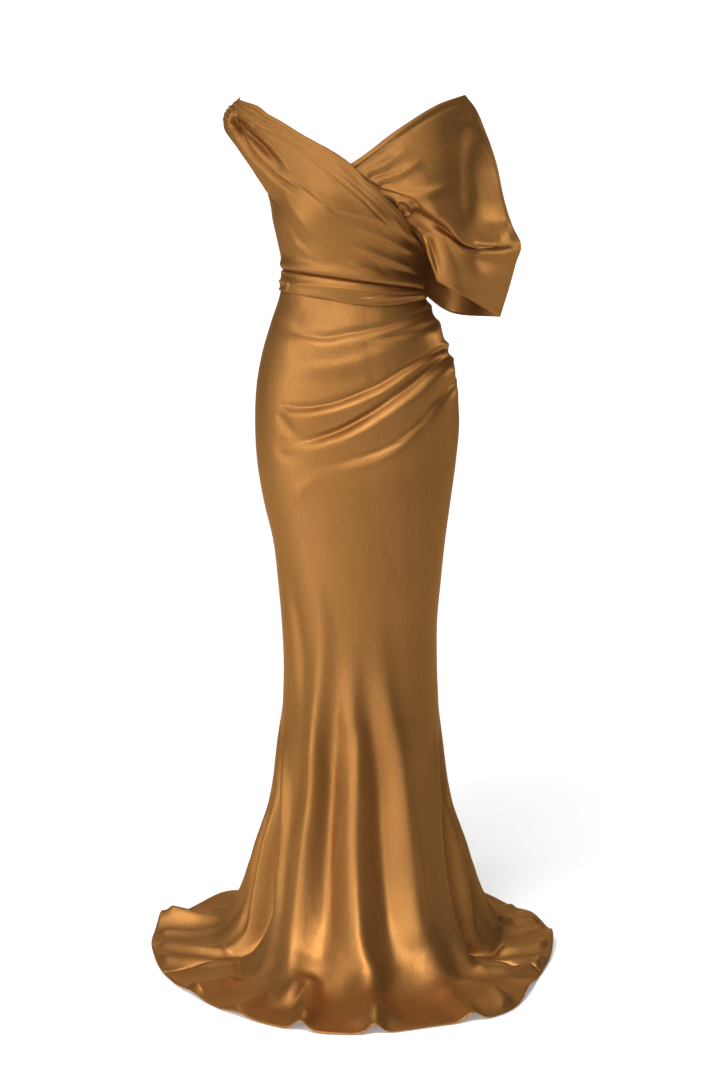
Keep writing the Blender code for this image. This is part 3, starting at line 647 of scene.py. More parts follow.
def closed_wall(name: str, outer: np.ndarray, outward: np.ndarray, thick: np.ndarray, run: np.ndarray, material: bpy.types.Material) -> bpy.types.Object:
    """A closed wall on a grid whose rows run down the cloth.

    Args:
        name: Name of the object.
        outer: Points of the outer face.
        outward: Directions out of it.
        thick: Thickness at each point.
        run: Distances across and down the cloth, for the UV map.
        material: The finish.

    Returns:
        The object, linked to the scene.
    """
    rows, columns = outer.shape[:2]
    inner = outer - outward * thick[..., None]
    points = np.concatenate([outer.reshape(-1, 3), inner.reshape(-1, 3)])
    behind = rows * columns
    a = (np.arange(rows - 1)[:, None] * columns + np.arange(columns - 1)[None]).ravel()
    b, c, d = a + 1, a + columns + 1, a + columns
    faces = [np.stack([a, d, c, b], 1), np.stack([a, b, c, d], 1) + behind]
    rim = np.concatenate(
        [np.arange(columns), np.arange(1, rows) * columns + columns - 1, (rows - 1) * columns + np.arange(columns - 2, -1, -1), np.arange(rows - 2, 0, -1) * columns]
    )
    after = np.roll(rim, -1)
    faces.append(np.stack([rim, after, after + behind, rim + behind], 1))
    faces = np.concatenate(faces)
    mesh = bpy.data.meshes.new(name)
    mesh.from_pydata(points.tolist(), [], faces.tolist())
    mesh.update()
    mesh.shade_smooth()
    uv = np.concatenate([run.reshape(-1, 2)] * 2)
    layer = mesh.uv_layers.new(name="cloth")
    corners = np.empty(len(mesh.loops), dtype=np.int64)
    mesh.loops.foreach_get("vertex_index", corners)
    layer.data.foreach_set("uv", uv[corners].ravel())
    mesh.materials.append(material)
    made = bpy.data.objects.new(name, mesh)
    bpy.context.scene.collection.objects.link(made)
    return made


# Skirt

STATIONS = (-1.0, -0.6, -0.2, 0.2, 0.6, 1.0)
HIP_ROWS = (
    (1.125, 1.107, 1.088, 1.109, 1.133, 1.138),
    (1.062, 1.050, 1.055, 1.080, 1.099, 1.113),
    (0.990, 0.973, 0.971, 1.012, 1.054, 1.078),
    (0.905, 0.900, 0.926, 0.983, 1.030, 1.052),
    (0.855, 0.850, 0.880, 0.921, 0.985, 1.018),
    (0.780, 0.775, 0.780, 0.800, 0.840, 0.880),
)

HIP_CREASES = (
    Crease(Fold.PLEAT, ((-88, 1.116), (-62.5, 1.109), (-43.5, 1.097), (-28, 1.091), (-17, 1.088), (-5.5, 1.094), (7, 1.100), (20, 1.107), (41.5, 1.121), (66, 1.130), (88, 1.134)), 0.0062, 0.009, 0.034, 0.0026, 0.28, 0.10),
    Crease(Fold.PLEAT, ((5, 1.083), (15.5, 1.086), (29.5, 1.092), (48, 1.101), (68, 1.107), (88, 1.112)), 0.0065, 0.009, 0.024, 0.0028, 0.35, 0.06),
    Crease(Fold.PLEAT, ((-53, 0.975), (-39.5, 0.972), (-28, 0.971), (-18, 0.975), (-8.5, 0.983), (2, 0.996), (13, 1.011), (28.5, 1.036), (51, 1.058), (76, 1.068), (88, 1.072)), 0.0115, 0.009, 0.034, 0.0040, 0.20, 0.16),
    Crease(Fold.TROUGH, ((-43, 0.966), (-44, 0.951), (-39, 0.935), (-32.5, 0.921), (-24, 0.918), (-15, 0.926), (-6.5, 0.942), (1.5, 0.960), (9.5, 0.978)), 0.0030, 0.010, 0.010, 0.0, 0.10, 0.50),
    Crease(Fold.PLEAT, ((-42.5, 0.906), (-31, 0.912), (-19.5, 0.921), (-7.5, 0.935), (2.5, 0.953), (15, 0.978), (27, 1.000), (43.5, 1.028), (64.5, 1.047), (88, 1.054)), 0.0140, 0.011, 0.046, 0.0062, 0.32, 0.16),
    Crease(Fold.TROUGH, ((-36.5, 0.914), (-44, 0.908), (-46.5, 0.898), (-42.5, 0.888), (-34.5, 0.884), (-24, 0.882)), 0.0018, 0.010, 0.010, 0.0, 0.20, 0.50),
    Crease(Fold.PLEAT, ((-22, 0.880), (-16.5, 0.882), (-6, 0.885), (7, 0.896), (17.5, 0.912), (25.5, 0.929), (35, 0.951), (45, 0.976), (62, 1.000), (84, 1.016)), 0.0066, 0.010, 0.040, 0.0034, 0.30, 0.12),
    Crease(Fold.TROUGH, ((2.5, 0.970), (14, 0.986), (26.5, 1.008), (41.5, 1.032), (62, 1.052), (74, 1.060)), 0.0045, 0.006, 0.006, 0.0, 0.30, 0.15),
    Crease(Fold.TROUGH, ((-76.5, 1.149), (-52.5, 1.140), (-41, 1.127), (-34, 1.112), (-31, 1.100)), 0.0034, 0.012, 0.010, 0.0, 0.30, 0.30),
    Crease(Fold.RIDGE, ((-52, 1.045), (-30, 1.035), (-8, 1.040), (16, 1.060), (40, 1.076)), 0.0022, 0.012, 0.016, 0.0, 0.35, 0.35),
    Crease(Fold.RIDGE, ((-32.5, 0.846), (-14, 0.857), (2, 0.866), (15, 0.881), (26, 0.902), (36.5, 0.932)), 0.0032, 0.012, 0.016, 0.0, 0.35, 0.35),
    Crease(Fold.RIDGE, ((-38, 0.800), (-34.5, 0.825), (-26, 0.843), (-14, 0.857)), 0.0024, 0.008, 0.010, 0.0, 0.40, 0.50),
)

FLARE_CREASES = (
    Crease(Fold.RIDGE, ((-43, 0.800), (-37, 0.700), (-26, 0.615), (-26.5, 0.531), (-30.5, 0.427), (-29.5, 0.324), (-32.5, 0.222), (-34, 0.118), (-34, 0.063), (-31, 0.017), (-26.5, -0.023), (-24, -0.075)), 0.0190, 0.017, 0.024, 0.0, 0.70, 0.10, 0.85),
    Crease(Fold.RIDGE, ((-4.5, 0.640), (-5.5, 0.451), (-1.5, 0.388), (-3, 0.229), (-1, 0.085), (4, 0.030), (4, -0.011), (6, -0.060), (8, -0.098), (10, -0.133)), 0.0200, 0.019, 0.022, 0.0, 0.50, 0.06, 0.80),
    Crease(Fold.RIDGE, ((12, 0.640), (17, 0.492), (26, 0.366), (29.5, 0.225), (31, 0.101), (34.5, 0.049), (37, -0.032), (41, -0.080), (42, -0.133)), 0.0195, 0.018, 0.024, 0.0, 0.50, 0.06, 0.80),
    Crease(Fold.TROUGH, ((-14, 0.576), (-18, 0.429), (-20.5, 0.267), (-19.5, 0.120), (-18.5, 0.040), (-14.5, -0.020)), 0.0105, 0.018, 0.018, 0.0, 0.50, 0.25, 0.8),
    Crease(Fold.TROUGH, ((2.5, 0.581), (6.5, 0.431), (12.5, 0.328), (13, 0.229), (15.5, 0.110), (17.5, 0.040), (19.5, -0.020)), 0.0105, 0.018, 0.018, 0.0, 0.50, 0.25, 0.8),
    Crease(Fold.TROUGH, ((-60, 0.720), (-52, 0.620), (-47, 0.540), (-46, 0.430)), 0.0060, 0.020, 0.020, 0.0, 0.40, 0.40),
    Crease(Fold.RIDGE, ((-27, -0.080), (-25.5, -0.042), (-23.5, -0.002), (-21.5, 0.010), (-19.5, -0.004), (-17, -0.060), (-14, -0.125)), 0.0105, 0.009, 0.009, 0.0, 0.20, 0.10),
    Crease(Fold.RIDGE, ((36, -0.036), (40, -0.040), (43.5, -0.070), (44.5, -0.100), (43, -0.130)), 0.0110, 0.006, 0.006, 0.0, 0.25, 0.10),
    Crease(Fold.RIDGE, ((-72, 0.42), (-62, 0.33), (-57.5, 0.250), (-56, 0.190), (-50, 0.112), (-47, 0.060), (-45, 0.000), (-47, -0.070)), 0.0110, 0.016, 0.007, 0.0, 0.30, 0.20, 0.8),
    Crease(Fold.RIDGE, ((72, 0.42), (62, 0.33), (57.5, 0.250), (56, 0.190), (55, 0.112), (55, 0.050), (53, -0.010), (52, -0.080)), 0.0110, 0.007, 0.016, 0.0, 0.30, 0.20, 0.8),
    Crease(Fold.TROUGH, ((-76, -0.012), (-70, 0.000), (-64.5, 0.002), (-56, -0.012), (-48, -0.030)), 0.0060, 0.006, 0.006, 0.0, 0.20, 0.30),
    Crease(Fold.TROUGH, ((58, 0.022), (66, 0.022), (72, -0.008), (79, -0.034)), 0.0130, 0.008, 0.006, 0.0, 0.20, 0.30),
    Crease(Fold.RIDGE, ((-48, -0.030), (-49, -0.077), (-50, -0.130)), 0.0120, 0.006, 0.007, 0.0, 0.30, 0.05),
    Crease(Fold.RIDGE, ((-34.5, -0.030), (-34, -0.085), (-35, -0.130)), 0.0070, 0.006, 0.007, 0.0, 0.35, 0.05),
    Crease(Fold.RIDGE, ((51, 0.000), (58.5, -0.066), (66, -0.110), (70, -0.133)), 0.0140, 0.007, 0.007, 0.0, 0.25, 0.08),
)

SIDE_CREASES = (
    Crease(Fold.TROUGH, ((80, 0.300), (80, 0.232), (80, 0.159), (77, 0.078), (73, 0.020)), 0.0070, 0.007, 0.007, 0.0, 0.30, 0.15, 0.6),
    Crease(Fold.TROUGH, ((70, 0.330), (71, 0.240), (70, 0.135), (69, 0.059), (68, 0.010)), 0.0080, 0.007, 0.007, 0.0, 0.30, 0.15, 0.6),
    Crease(Fold.RIDGE, ((75, 0.320), (75.5, 0.240), (74, 0.120), (72, 0.030), (76, -0.050), (82, -0.130)), 0.0100, 0.007, 0.007, 0.0, 0.30, 0.05, 0.7),
    Crease(Fold.RIDGE, ((84, 0.280), (86, 0.180), (86, 0.070), (90, -0.030), (93, -0.130)), 0.0110, 0.009, 0.009, 0.0, 0.30, 0.05, 0.6),
    Crease(Fold.RIDGE, ((64, 0.040), (64, 0.000), (66.5, -0.053), (70.5, -0.103), (73, -0.130)), 0.0110, 0.006, 0.006, 0.0, 0.25, 0.08),
    Crease(Fold.RIDGE, ((96, 0.220), (98, 0.060), (102, -0.040), (104, -0.130)), 0.0120, 0.010, 0.010, 0.0, 0.30, 0.05, 0.6),
    Crease(Fold.RIDGE, ((110, 0.200), (114, 0.040), (117, -0.040), (119, -0.130)), 0.0110, 0.010, 0.010, 0.0, 0.30, 0.05, 0.6),
)


@dataclass(frozen=True)
class Flute:
    """A flute of the back's flare: turns at its start and at the floor, start level, half width and rise."""

    top: float
    bottom: float
    starts: float
    wide: float
    rise: float


@dataclass(frozen=True)
class Ripple:
    """A place where the hem stands off the floor."""

    turn: float
    wide: float
    lift: float
    reach: float = 0.0


BACK_FLUTES = (
    Flute(84, 80, 0.46, 11, 0.014),
    Flute(106, 104, 0.50, 12, 0.018),
    Flute(130, 129, 0.56, 12, 0.020),
    Flute(155, 155, 0.58, 12, 0.022),
    Flute(180, 180, 0.60, 11, 0.014),
    Flute(-84, -80, 0.46, 11, 0.014),
    Flute(-106, -104, 0.50, 12, 0.018),
    Flute(-130, -129, 0.56, 12, 0.020),
    Flute(-155, -155, 0.58, 12, 0.022),
)
RIPPLES = (
    Ripple(-103, 5, 0.024),
    Ripple(-78, 6, 0.006),
    Ripple(-50, 5, 0.007),
    Ripple(-33, 4, 0.006),
    Ripple(-14, 2.6, 0.016),
    Ripple(6.5, 2.4, 0.015),
    Ripple(33, 2.4, 0.014),
    Ripple(54, 5, 0.012),
    Ripple(88, 7, 0.016),
    Ripple(112, 7, 0.008),
    Ripple(136, 8, 0.010),
    Ripple(160, 8, 0.010),
    Ripple(-136, 8, 0.010),
    Ripple(-160, 8, 0.010),
)


@dataclass(frozen=True)
class SkirtForm:
    """Relief of the skirt that its panels share, so their edges meet."""

    figure: Figure
    lying_share: float = 0.35
    valley: float = 0.034
    valley_wide: float = 7.0
    valley_behind: float = 5.0
    floor: float = 0.0021

    def lying(self, level: np.ndarray) -> np.ndarray:
        """How far the cloth has come to lie on the floor, from 0 to 1."""
        return ease((0.03 - level) / 0.10)

    def flutes(self, turn: np.ndarray, level: np.ndarray) -> np.ndarray:
        """Rise of the flutes round the back and of the ridges in front."""
        lift = np.zeros(np.broadcast(turn, level).shape)
        for flute in BACK_FLUTES:
            grown = np.clip((flute.starts - level) / flute.starts, 0, 1)
            centre = flute.top + (flute.bottom - flute.top) * grown
            lift += flute.rise * ease(grown) * bump(between(turn, centre) / flute.wide)
        lift *= 1 - (1 - self.lying_share) * self.lying(level)
        lift += creased(FLARE_CREASES, turn, level) + creased(SIDE_CREASES, np.abs(turn), level)
        return lift

    def valleys(self, turn: np.ndarray, level: np.ndarray) -> np.ndarray:
        """Depth of the hollow along each side seam of the flare."""
        seam = self.figure.side_seam(level)
        grown = ease((0.46 - level) / 0.26) * (1 - self.lying(level))
        near = bump((np.abs(turn) - seam - self.valley_behind) / self.valley_wide)
        return -self.valley * grown * near

    def ripples(self, turn: np.ndarray, level: np.ndarray) -> np.ndarray:
        """How far the hem stands off the floor."""
        out = ease(level / self.figure.hem)
        lift = np.zeros(np.broadcast(turn, level).shape)
        for ripple in RIPPLES:
            lift += ripple.lift * out * bump(between(turn, ripple.turn) / ripple.wide)
        return lift

    def place(self, turn: np.ndarray, level: np.ndarray, extra: np.ndarray | float = 0.0) -> tuple[np.ndarray, np.ndarray]:
        """Points of the outer face and directions out.

        Args:
            turn: Turns in degrees.
            level: Levels.
            extra: More rise of the cloth.

        Returns:
            Points and directions.
        """
        turn, level = np.broadcast_arrays(np.asarray(turn, float), np.asarray(level, float))
        normal = self.figure.normals(turn, level)
        relief = self.flutes(turn, level) + self.valleys(turn, level) + extra
        points = self.figure.points(turn, level) + relief[..., None] * normal
        points[..., 2] = np.maximum(points[..., 2], self.floor - HELD_HEIGHT) + self.ripples(turn, level)
        return points, normal


SKIRT = SkirtForm(FIGURE)


def hip_levels(station: np.ndarray, place: np.ndarray, plain: np.ndarray) -> np.ndarray:
    """Levels of the skirt's rows.

    Args:
        station: Stations across the front, from -1 to 1.
        place: Row places, counted down from the waist seam.
        plain: Levels of the rows below the hip, one for each whole place after the folds.

    Returns:
        A grid of levels.
    """
    rows = [FIGURE.waist(90.0 * station) - SEAM_GAP / 2]
    rows += [curve(STATIONS, row, station) for row in HIP_ROWS]
    rows += [np.full(station.shape, level) for level in plain]
    return curve(np.arange(len(rows)), np.stack(rows), place)


def seam_roll(turn: np.ndarray, seam: np.ndarray | float, level: np.ndarray) -> np.ndarray:
    """How far the cloth rolls in at a sewn seam."""
    run = np.abs(between(turn, seam)) * 0.0024
    return -0.0011 * bump(run / 0.0022) * np.ones(level.shape)


@dataclass
class SkirtFront(Panel):
    """Front skirt with the folds that fan from the left hip and the front of the pooled hem."""

    columns: int = 186

    def surface(self) -> tuple[np.ndarray, np.ndarray]:
        """Grids of points on the outer face and of directions out of it."""
        station = np.linspace(-1, 1, self.columns + 1)
        plain = (0.70, 0.60, 0.50, 0.41, 0.33, 0.26, 0.195, 0.135, 0.082, 0.04, 0.0, -0.04, -0.085, FIGURE.hem)
        hips = len(HIP_ROWS)
        cells = [18, 20, 26, 24, 16, 12] + [8, 8, 8, 8, 9, 9, 9, 9, 9, 9, 9, 9, 9, 10]
        place = spread(range(hips + len(plain) + 1), cells)
        level = hip_levels(station, place, np.array(plain))
        seam = FIGURE.side_seam(level)
        turn = station * (seam - FIGURE.gap_turn(seam, level))
        folds = creased(HIP_CREASES, turn, level) * (1 - ease((np.abs(station) - 0.90) / 0.10))
        loops = self.side_gathers(turn, level)
        rolls = seam_roll(turn, seam, level) + seam_roll(turn, -seam, level)
        return SKIRT.place(turn, level, folds + loops + rolls)

    def side_gathers(self, turn: np.ndarray, level: np.ndarray) -> np.ndarray:
        """Short gathers where the folds are caught in the left side seam."""
        lift = np.zeros(turn.shape)
        for place, rise in ((1.136, 0.004), (1.108, 0.005), (1.070, 0.006), (1.046, 0.006), (1.010, 0.003)):
            lift += rise * bump((level - place) / 0.007) * ease((turn - 62) / 22) * (1 - ease((turn - 87) / 5))
        return lift


@dataclass
class SkirtBack(Panel):
    """Half of the back skirt, from its side seam to the centre back seam."""

    side: int = 1
    columns: int = 112

    def surface(self) -> tuple[np.ndarray, np.ndarray]:
        """Grids of points on the outer face and of directions out of it."""
        share = np.linspace(0, 1, self.columns + 1)
        top = FIGURE.waist(self.side * (90 + 90 * share)) - SEAM_GAP / 2
        levels = spread((1.12, 0.95, 0.70, 0.41, 0.195, 0.04, -0.04, FIGURE.hem), (28, 36, 32, 34, 30, 18, 22))
        first = np.linspace(0, 1, 13)[:-1, None]
        level = np.concatenate([top + (levels[0] - top) * first, levels[:, None] * np.ones_like(share)])
        seam = FIGURE.side_seam(level)
        first_turn = seam + FIGURE.gap_turn(seam, level)
        last_turn = 180 - FIGURE.gap_turn(180.0, level)
        turn = self.side * (first_turn + (last_turn - first_turn) * share)
        rolls = seam_roll(turn, self.side * seam, level) + seam_roll(turn, 180.0, level)
        points, normal = SKIRT.place(turn, level, rolls + self.drags(turn, level))
        if self.side < 0:
            points, normal = points[:, ::-1], normal[:, ::-1]
        return points, normal

    def drags(self, turn: np.ndarray, level: np.ndarray) -> np.ndarray:
        """Soft drag lines across the seat, stronger near the left side seam."""
        lift = np.zeros(turn.shape)
        for line, rise, wide in BACK_DRAGS:
            path = tuple((self.side * a, b) for a, b in line)
            path = path if self.side > 0 else path[::-1]
            amount = rise if self.side > 0 else 0.6 * rise
            lift += Crease(Fold.RIDGE, path, amount, wide, wide * 1.4, 0.0, 0.15, 0.4).relief(turn, level, 0.0024)
        return lift


BACK_DRAGS = (
    (((93, 1.060), (112, 1.050), (135, 1.020), (160, 0.985)), 0.0040, 0.010),
    (((93, 1.010), (115, 0.990), (140, 0.955), (165, 0.930)), 0.0036, 0.011),
    (((93, 1.110), (110, 1.105), (130, 1.090), (155, 1.070)), 0.0030, 0.009),
    (((93, 0.950), (112, 0.925), (138, 0.890)), 0.0026, 0.013),
)


@dataclass
class WaistBand(Panel):
    """Band wrapped across the front waist, with soft creases and a loop at the wearer's right."""

    lower: tuple[float, ...] = (1.166, 1.160, 1.149, 1.139, 1.146, 1.151)
    rows: int = 44
    columns: int = 170

    def surface(self) -> tuple[np.ndarray, np.ndarray]:
        """Grids of points on the outer face and of directions out of it."""
        station = np.linspace(-1, 1, self.columns + 1)
        seam = FIGURE.side_seam(1.16)
        turn = np.broadcast_to(station * (seam - FIGURE.gap_turn(seam, 1.16)), (self.rows + 1, self.columns + 1))
        top = FIGURE.waist(90 * station) - 0.0016
        v = np.linspace(0, 1, self.rows + 1)[:, None]
        level = top + (curve(STATIONS, self.lower, station) - top) * v
        normal = FIGURE.normals(turn, level)
        under = creased(HIP_CREASES, turn, level)
        lift = 0.0026 + under + self.ridges(turn, level, v, station)
        return FIGURE.points(turn, level) + lift[..., None] * normal, normal

    def ridges(self, turn: np.ndarray, level: np.ndarray, v: np.ndarray, station: np.ndarray) -> np.ndarray:
        """Rise of the band's soft rolls and creases."""
        ends = 1 - ease((np.abs(station) - 0.80) / 0.18)
        roll = 0.0030 * np.sin(np.pi * np.clip(v, 0, 1)) ** 0.7
        return (roll + creased(BAND_CREASES, turn, level)) * ends


BAND_CREASES = (
    Crease(Fold.RIDGE, ((-59, 1.176), (-34, 1.176), (-12.5, 1.171), (6, 1.166), (30, 1.162), (72.5, 1.158)), 0.0026, 0.004, 0.006, 0.0, 0.12, 0.1),
    Crease(Fold.TROUGH, ((-65.5, 1.160), (-42.5, 1.155), (-24, 1.151), (-8.5, 1.146), (3, 1.145)), 0.0026, 0.0024, 0.0030, 0.0, 0.25, 0.35),
    Crease(Fold.RIDGE, ((2.5, 1.149), (13, 1.151), (28.5, 1.152), (47, 1.154), (73.5, 1.154)), 0.0030, 0.0028, 0.0032, 0.0, 0.25, 0.2),
    Crease(Fold.TROUGH, ((-10, 1.168), (16, 1.160), (41, 1.157), (70, 1.1565)), 0.0020, 0.0022, 0.0026, 0.0, 0.3, 0.2),
    Crease(Fold.RIDGE, ((-84, 1.166), (-88, 1.171), (-77.5, 1.179), (-62.5, 1.179), (-56.5, 1.173), (-60.5, 1.164), (-72, 1.163), (-84, 1.166)), 0.0036, 0.0026, 0.0026, 0.0, 0.05, 0.05),
    Crease(Fold.TROUGH, ((-76, 1.171), (-70, 1.172), (-64, 1.171)), 0.0030, 0.0030, 0.0030, 0.0, 0.3, 0.3),
    Crease(Fold.TROUGH, ((-90, 1.193), (-74, 1.190), (-60, 1.186), (-44, 1.186)), 0.0046, 0.004, 0.004, 0.0, 0.05, 0.5),
)


# Bodice

WRAP_NECK = ((-90, 1.488), (-54, 1.476), (-36, 1.456), (-15, 1.415), (2, 1.374), (12, 1.336), (30, 1.297), (45, 1.268), (60, 1.250), (84, 1.229), (112.5, 1.219))
WRAP_ARM = ((-90, 1.448), (-74, 1.420), (-67, 1.389), (-67, 1.357), (-77, 1.323), (-90, 1.300), (-90, 1.250), (-90, 1.199))
BACK_ARM = ((-90, 1.448), (-106, 1.420), (-113, 1.389), (-113, 1.357), (-103, 1.323), (-90, 1.300), (-90, 1.250), (-90, 1.199))
BACK_NECK = ((-90, 1.488), (-112, 1.476), (-128, 1.448), (-142, 1.412), (-158, 1.366), (-180, 1.300))
WRAP_END = 112.5

WRAP_CREASES = (
    Crease(Fold.TROUGH, ((-84, 1.472), (-57, 1.457), (-39.5, 1.436), (-27.5, 1.413), (-17.5, 1.385), (-9.5, 1.359), (-1.5, 1.332), (9, 1.305), (22, 1.278), (33.5, 1.256)), 0.0018, 0.0022, 0.0024, 0.0, 0.08, 0.20),
    Crease(Fold.TROUGH, ((-78, 1.477), (-55, 1.463), (-38, 1.443), (-25, 1.420), (-14, 1.391), (-6, 1.365), (2, 1.338), (13, 1.309), (28, 1.282)), 0.0009, 0.0018, 0.0018, 0.0, 0.15, 0.20),
    Crease(Fold.TROUGH, ((-70, 1.458), (-56.5, 1.442), (-48.5, 1.424), (-43, 1.404), (-39.5, 1.385), (-36, 1.367), (-31.5, 1.350)), 0.0130, 0.0080, 0.0120, 0.0, 0.12, 0.40),
    Crease(Fold.RIDGE, ((-40.5, 1.385), (-32.5, 1.350), (-26, 1.332), (-18.5, 1.314), (-7.5, 1.299), (7.5, 1.289), (22, 1.277), (40, 1.262)), 0.0034, 0.012, 0.0040, 0.0, 0.35, 0.35),
    Crease(Fold.TROUGH, ((-69.5, 1.457), (-58.5, 1.430), (-56, 1.406), (-52.5, 1.385), (-48, 1.364), (-42.5, 1.346), (-35.5, 1.334), (-28, 1.322)), 0.0080, 0.0050, 0.0080, 0.0, 0.10, 0.35),
    Crease(Fold.TROUGH, ((-62, 1.452), (-54, 1.446), (-42, 1.434), (-35, 1.424), (-32, 1.412)), 0.0034, 0.0040, 0.0060, 0.0, 0.15, 0.50),
    Crease(Fold.RIDGE, ((-57, 1.341), (-50, 1.323), (-41.5, 1.298), (-33.5, 1.278), (-24.5, 1.256), (-13, 1.239)), 0.0026, 0.012, 0.007, 0.0, 0.30, 0.40),
    Crease(Fold.TROUGH, ((-82, 1.336), (-72, 1.323), (-59.5, 1.307), (-47, 1.278), (-38, 1.248), (-28, 1.225)), 0.0024, 0.0030, 0.0080, 0.0, 0.15, 0.45),
    Crease(Fold.RIDGE, ((-30, 1.345), (-22.5, 1.322), (-16.5, 1.302), (-11, 1.286)), 0.0022, 0.0050, 0.0070, 0.0, 0.35, 0.40),
    Crease(Fold.RIDGE, ((-60, 1.262), (-40, 1.236), (-22, 1.215), (-2, 1.196)), 0.0022, 0.008, 0.008, 0.0, 0.35, 0.35),
    Crease(Fold.RIDGE, ((-0.5, 1.274), (12, 1.262), (26.5, 1.248), (42.5, 1.235), (62, 1.226)), 0.0028, 0.008, 0.005, 0.0, 0.35, 0.30),
    Crease(Fold.RIDGE, ((-5, 1.248), (7.5, 1.233), (21.5, 1.221), (40.5, 1.209), (62, 1.202)), 0.0028, 0.008, 0.005, 0.0, 0.35, 0.30),
    Crease(Fold.RIDGE, ((-8.5, 1.212), (6.5, 1.205), (19.5, 1.197), (29, 1.191)), 0.0030, 0.005, 0.004, 0.0, 0.35, 0.35),
    Crease(Fold.TROUGH, ((24, 1.205), (42, 1.197), (62, 1.190), (80, 1.184)), 0.0024, 0.0040, 0.0040, 0.0, 0.35, 0.25),
    Crease(Fold.RIDGE, ((22, 1.298), (34, 1.270), (50, 1.252), (68, 1.240)), 0.0024, 0.007, 0.005, 0.0, 0.30, 0.40),
)


def bust(points: np.ndarray) -> np.ndarray:
    """Rise of the bodice's soft fullness in front."""
    lift = np.zeros(points.shape[:-1])
    for x, height, wide, tall, rise in ((-0.078, 1.292, 0.055, 0.050, 0.010), (0.060, 1.296, 0.055, 0.050, 0.008)):
        lift += rise * bump(np.hypot((points[..., 0] - x) / wide, (points[..., 2] + HELD_HEIGHT - height) / tall))
    return lift * (points[..., 1] < 0)


def along(path: Path2, cells: int) -> np.ndarray:
    """Places spaced evenly along an edge given as turns and heights."""
    places = np.array(path, float)
    points = FIGURE.points(places[:, 0], places[:, 1])
    run = np.concatenate([[0], np.cumsum(np.linalg.norm(np.diff(points, axis=0), axis=-1))])
    return curve(run, places, np.linspace(0, run[-1], cells + 1))


def patch(top: np.ndarray, bottom: np.ndarray, left: np.ndarray, right: np.ndarray) -> np.ndarray:
    """A grid of places between four edges that meet at their ends."""
    u = np.linspace(0, 1, len(top))[None, :, None]
    v = np.linspace(0, 1, len(left))[:, None, None]
    across = (1 - v) * top[None] + v * bottom[None]
    down = (1 - u) * left[:, None] + u * right[:, None]
    corners = (1 - v) * ((1 - u) * top[0] + u * top[-1]) + v * ((1 - u) * bottom[0] + u * bottom[-1])
    return across + down - corners


def waist_edge(first: float, last: float, cells: int) -> np.ndarray:
    """Places along the bodice's lower edge."""
    turn = np.linspace(first, last, cells + 1)
    return np.stack([turn, FIGURE.waist(turn) + SEAM_GAP / 2], axis=-1)


@dataclass
class WrapOver(Panel):
    """Front wrap from the gathered shoulder across to the other side."""

    arm_cells: int = 77
    waist_cells: int = 126
    down_cells: int = 126

    def surface(self) -> tuple[np.ndarray, np.ndarray]:
        """Grids of points on the outer face and of directions out of it."""
        start = -90 + FIGURE.gap_turn(-90, 1.25)
        arm = along(WRAP_ARM, self.arm_cells)
        lower = np.concatenate([arm[:-1], waist_edge(-90, WRAP_END, self.waist_cells)])
        lower[self.arm_cells, 1] = FIGURE.waist(-90) + SEAM_GAP / 2
        neck = along(WRAP_NECK, self.arm_cells + self.waist_cells)
        v = np.linspace(0, 1, self.down_cells + 1)[:, None]
        left = neck[0] + (lower[0] - neck[0]) * v
        right = neck[-1] + (lower[-1] - neck[-1]) * v
        places = patch(neck, lower, left, right)
        turn, level = np.maximum(places[..., 0], start), places[..., 1]
        u = np.linspace(0, 1, places.shape[1])[None]
        plain, normal = FIGURE.points(turn, level), FIGURE.normals(turn, level)
        relief = bust(plain) + self.gather(u, v) + self.blouse(turn, level)
        near = ease(u / 0.03) * (1 - ease((turn - 78) / 22)) * ease(v / 0.05)
        relief = relief + creased(WRAP_CREASES, turn, level) * near
        return plain + relief[..., None] * normal, normal

    def gather(self, u: np.ndarray, v: np.ndarray) -> np.ndarray:
        """Pleats that fan from the shoulder gather."""
        lift = np.zeros(np.broadcast(u, v).shape)
        for across, wide, rise, runs in ((0.18, 0.035, 0.0026, 0.07), (0.34, 0.035, 0.0034, 0.09), (0.47, 0.030, 0.0036, 0.06), (0.60, 0.035, 0.0038, 0.10), (0.76, 0.040, 0.0030, 0.08)):
            lift += rise * bump((v - across) / wide) * ease(u / 0.008) * (1 - ease(u / runs))
        return lift * ease(v / 0.25)

    def blouse(self, turn: np.ndarray, level: np.ndarray) -> np.ndarray:
        """Fullness that hangs over the waist seam."""
        above = level - FIGURE.waist(turn)
        front = 1 - ease((np.abs(turn) - 70) / 20)
        return 0.0075 * bump((above - 0.010) / 0.010) * ease(above / 0.004) * front


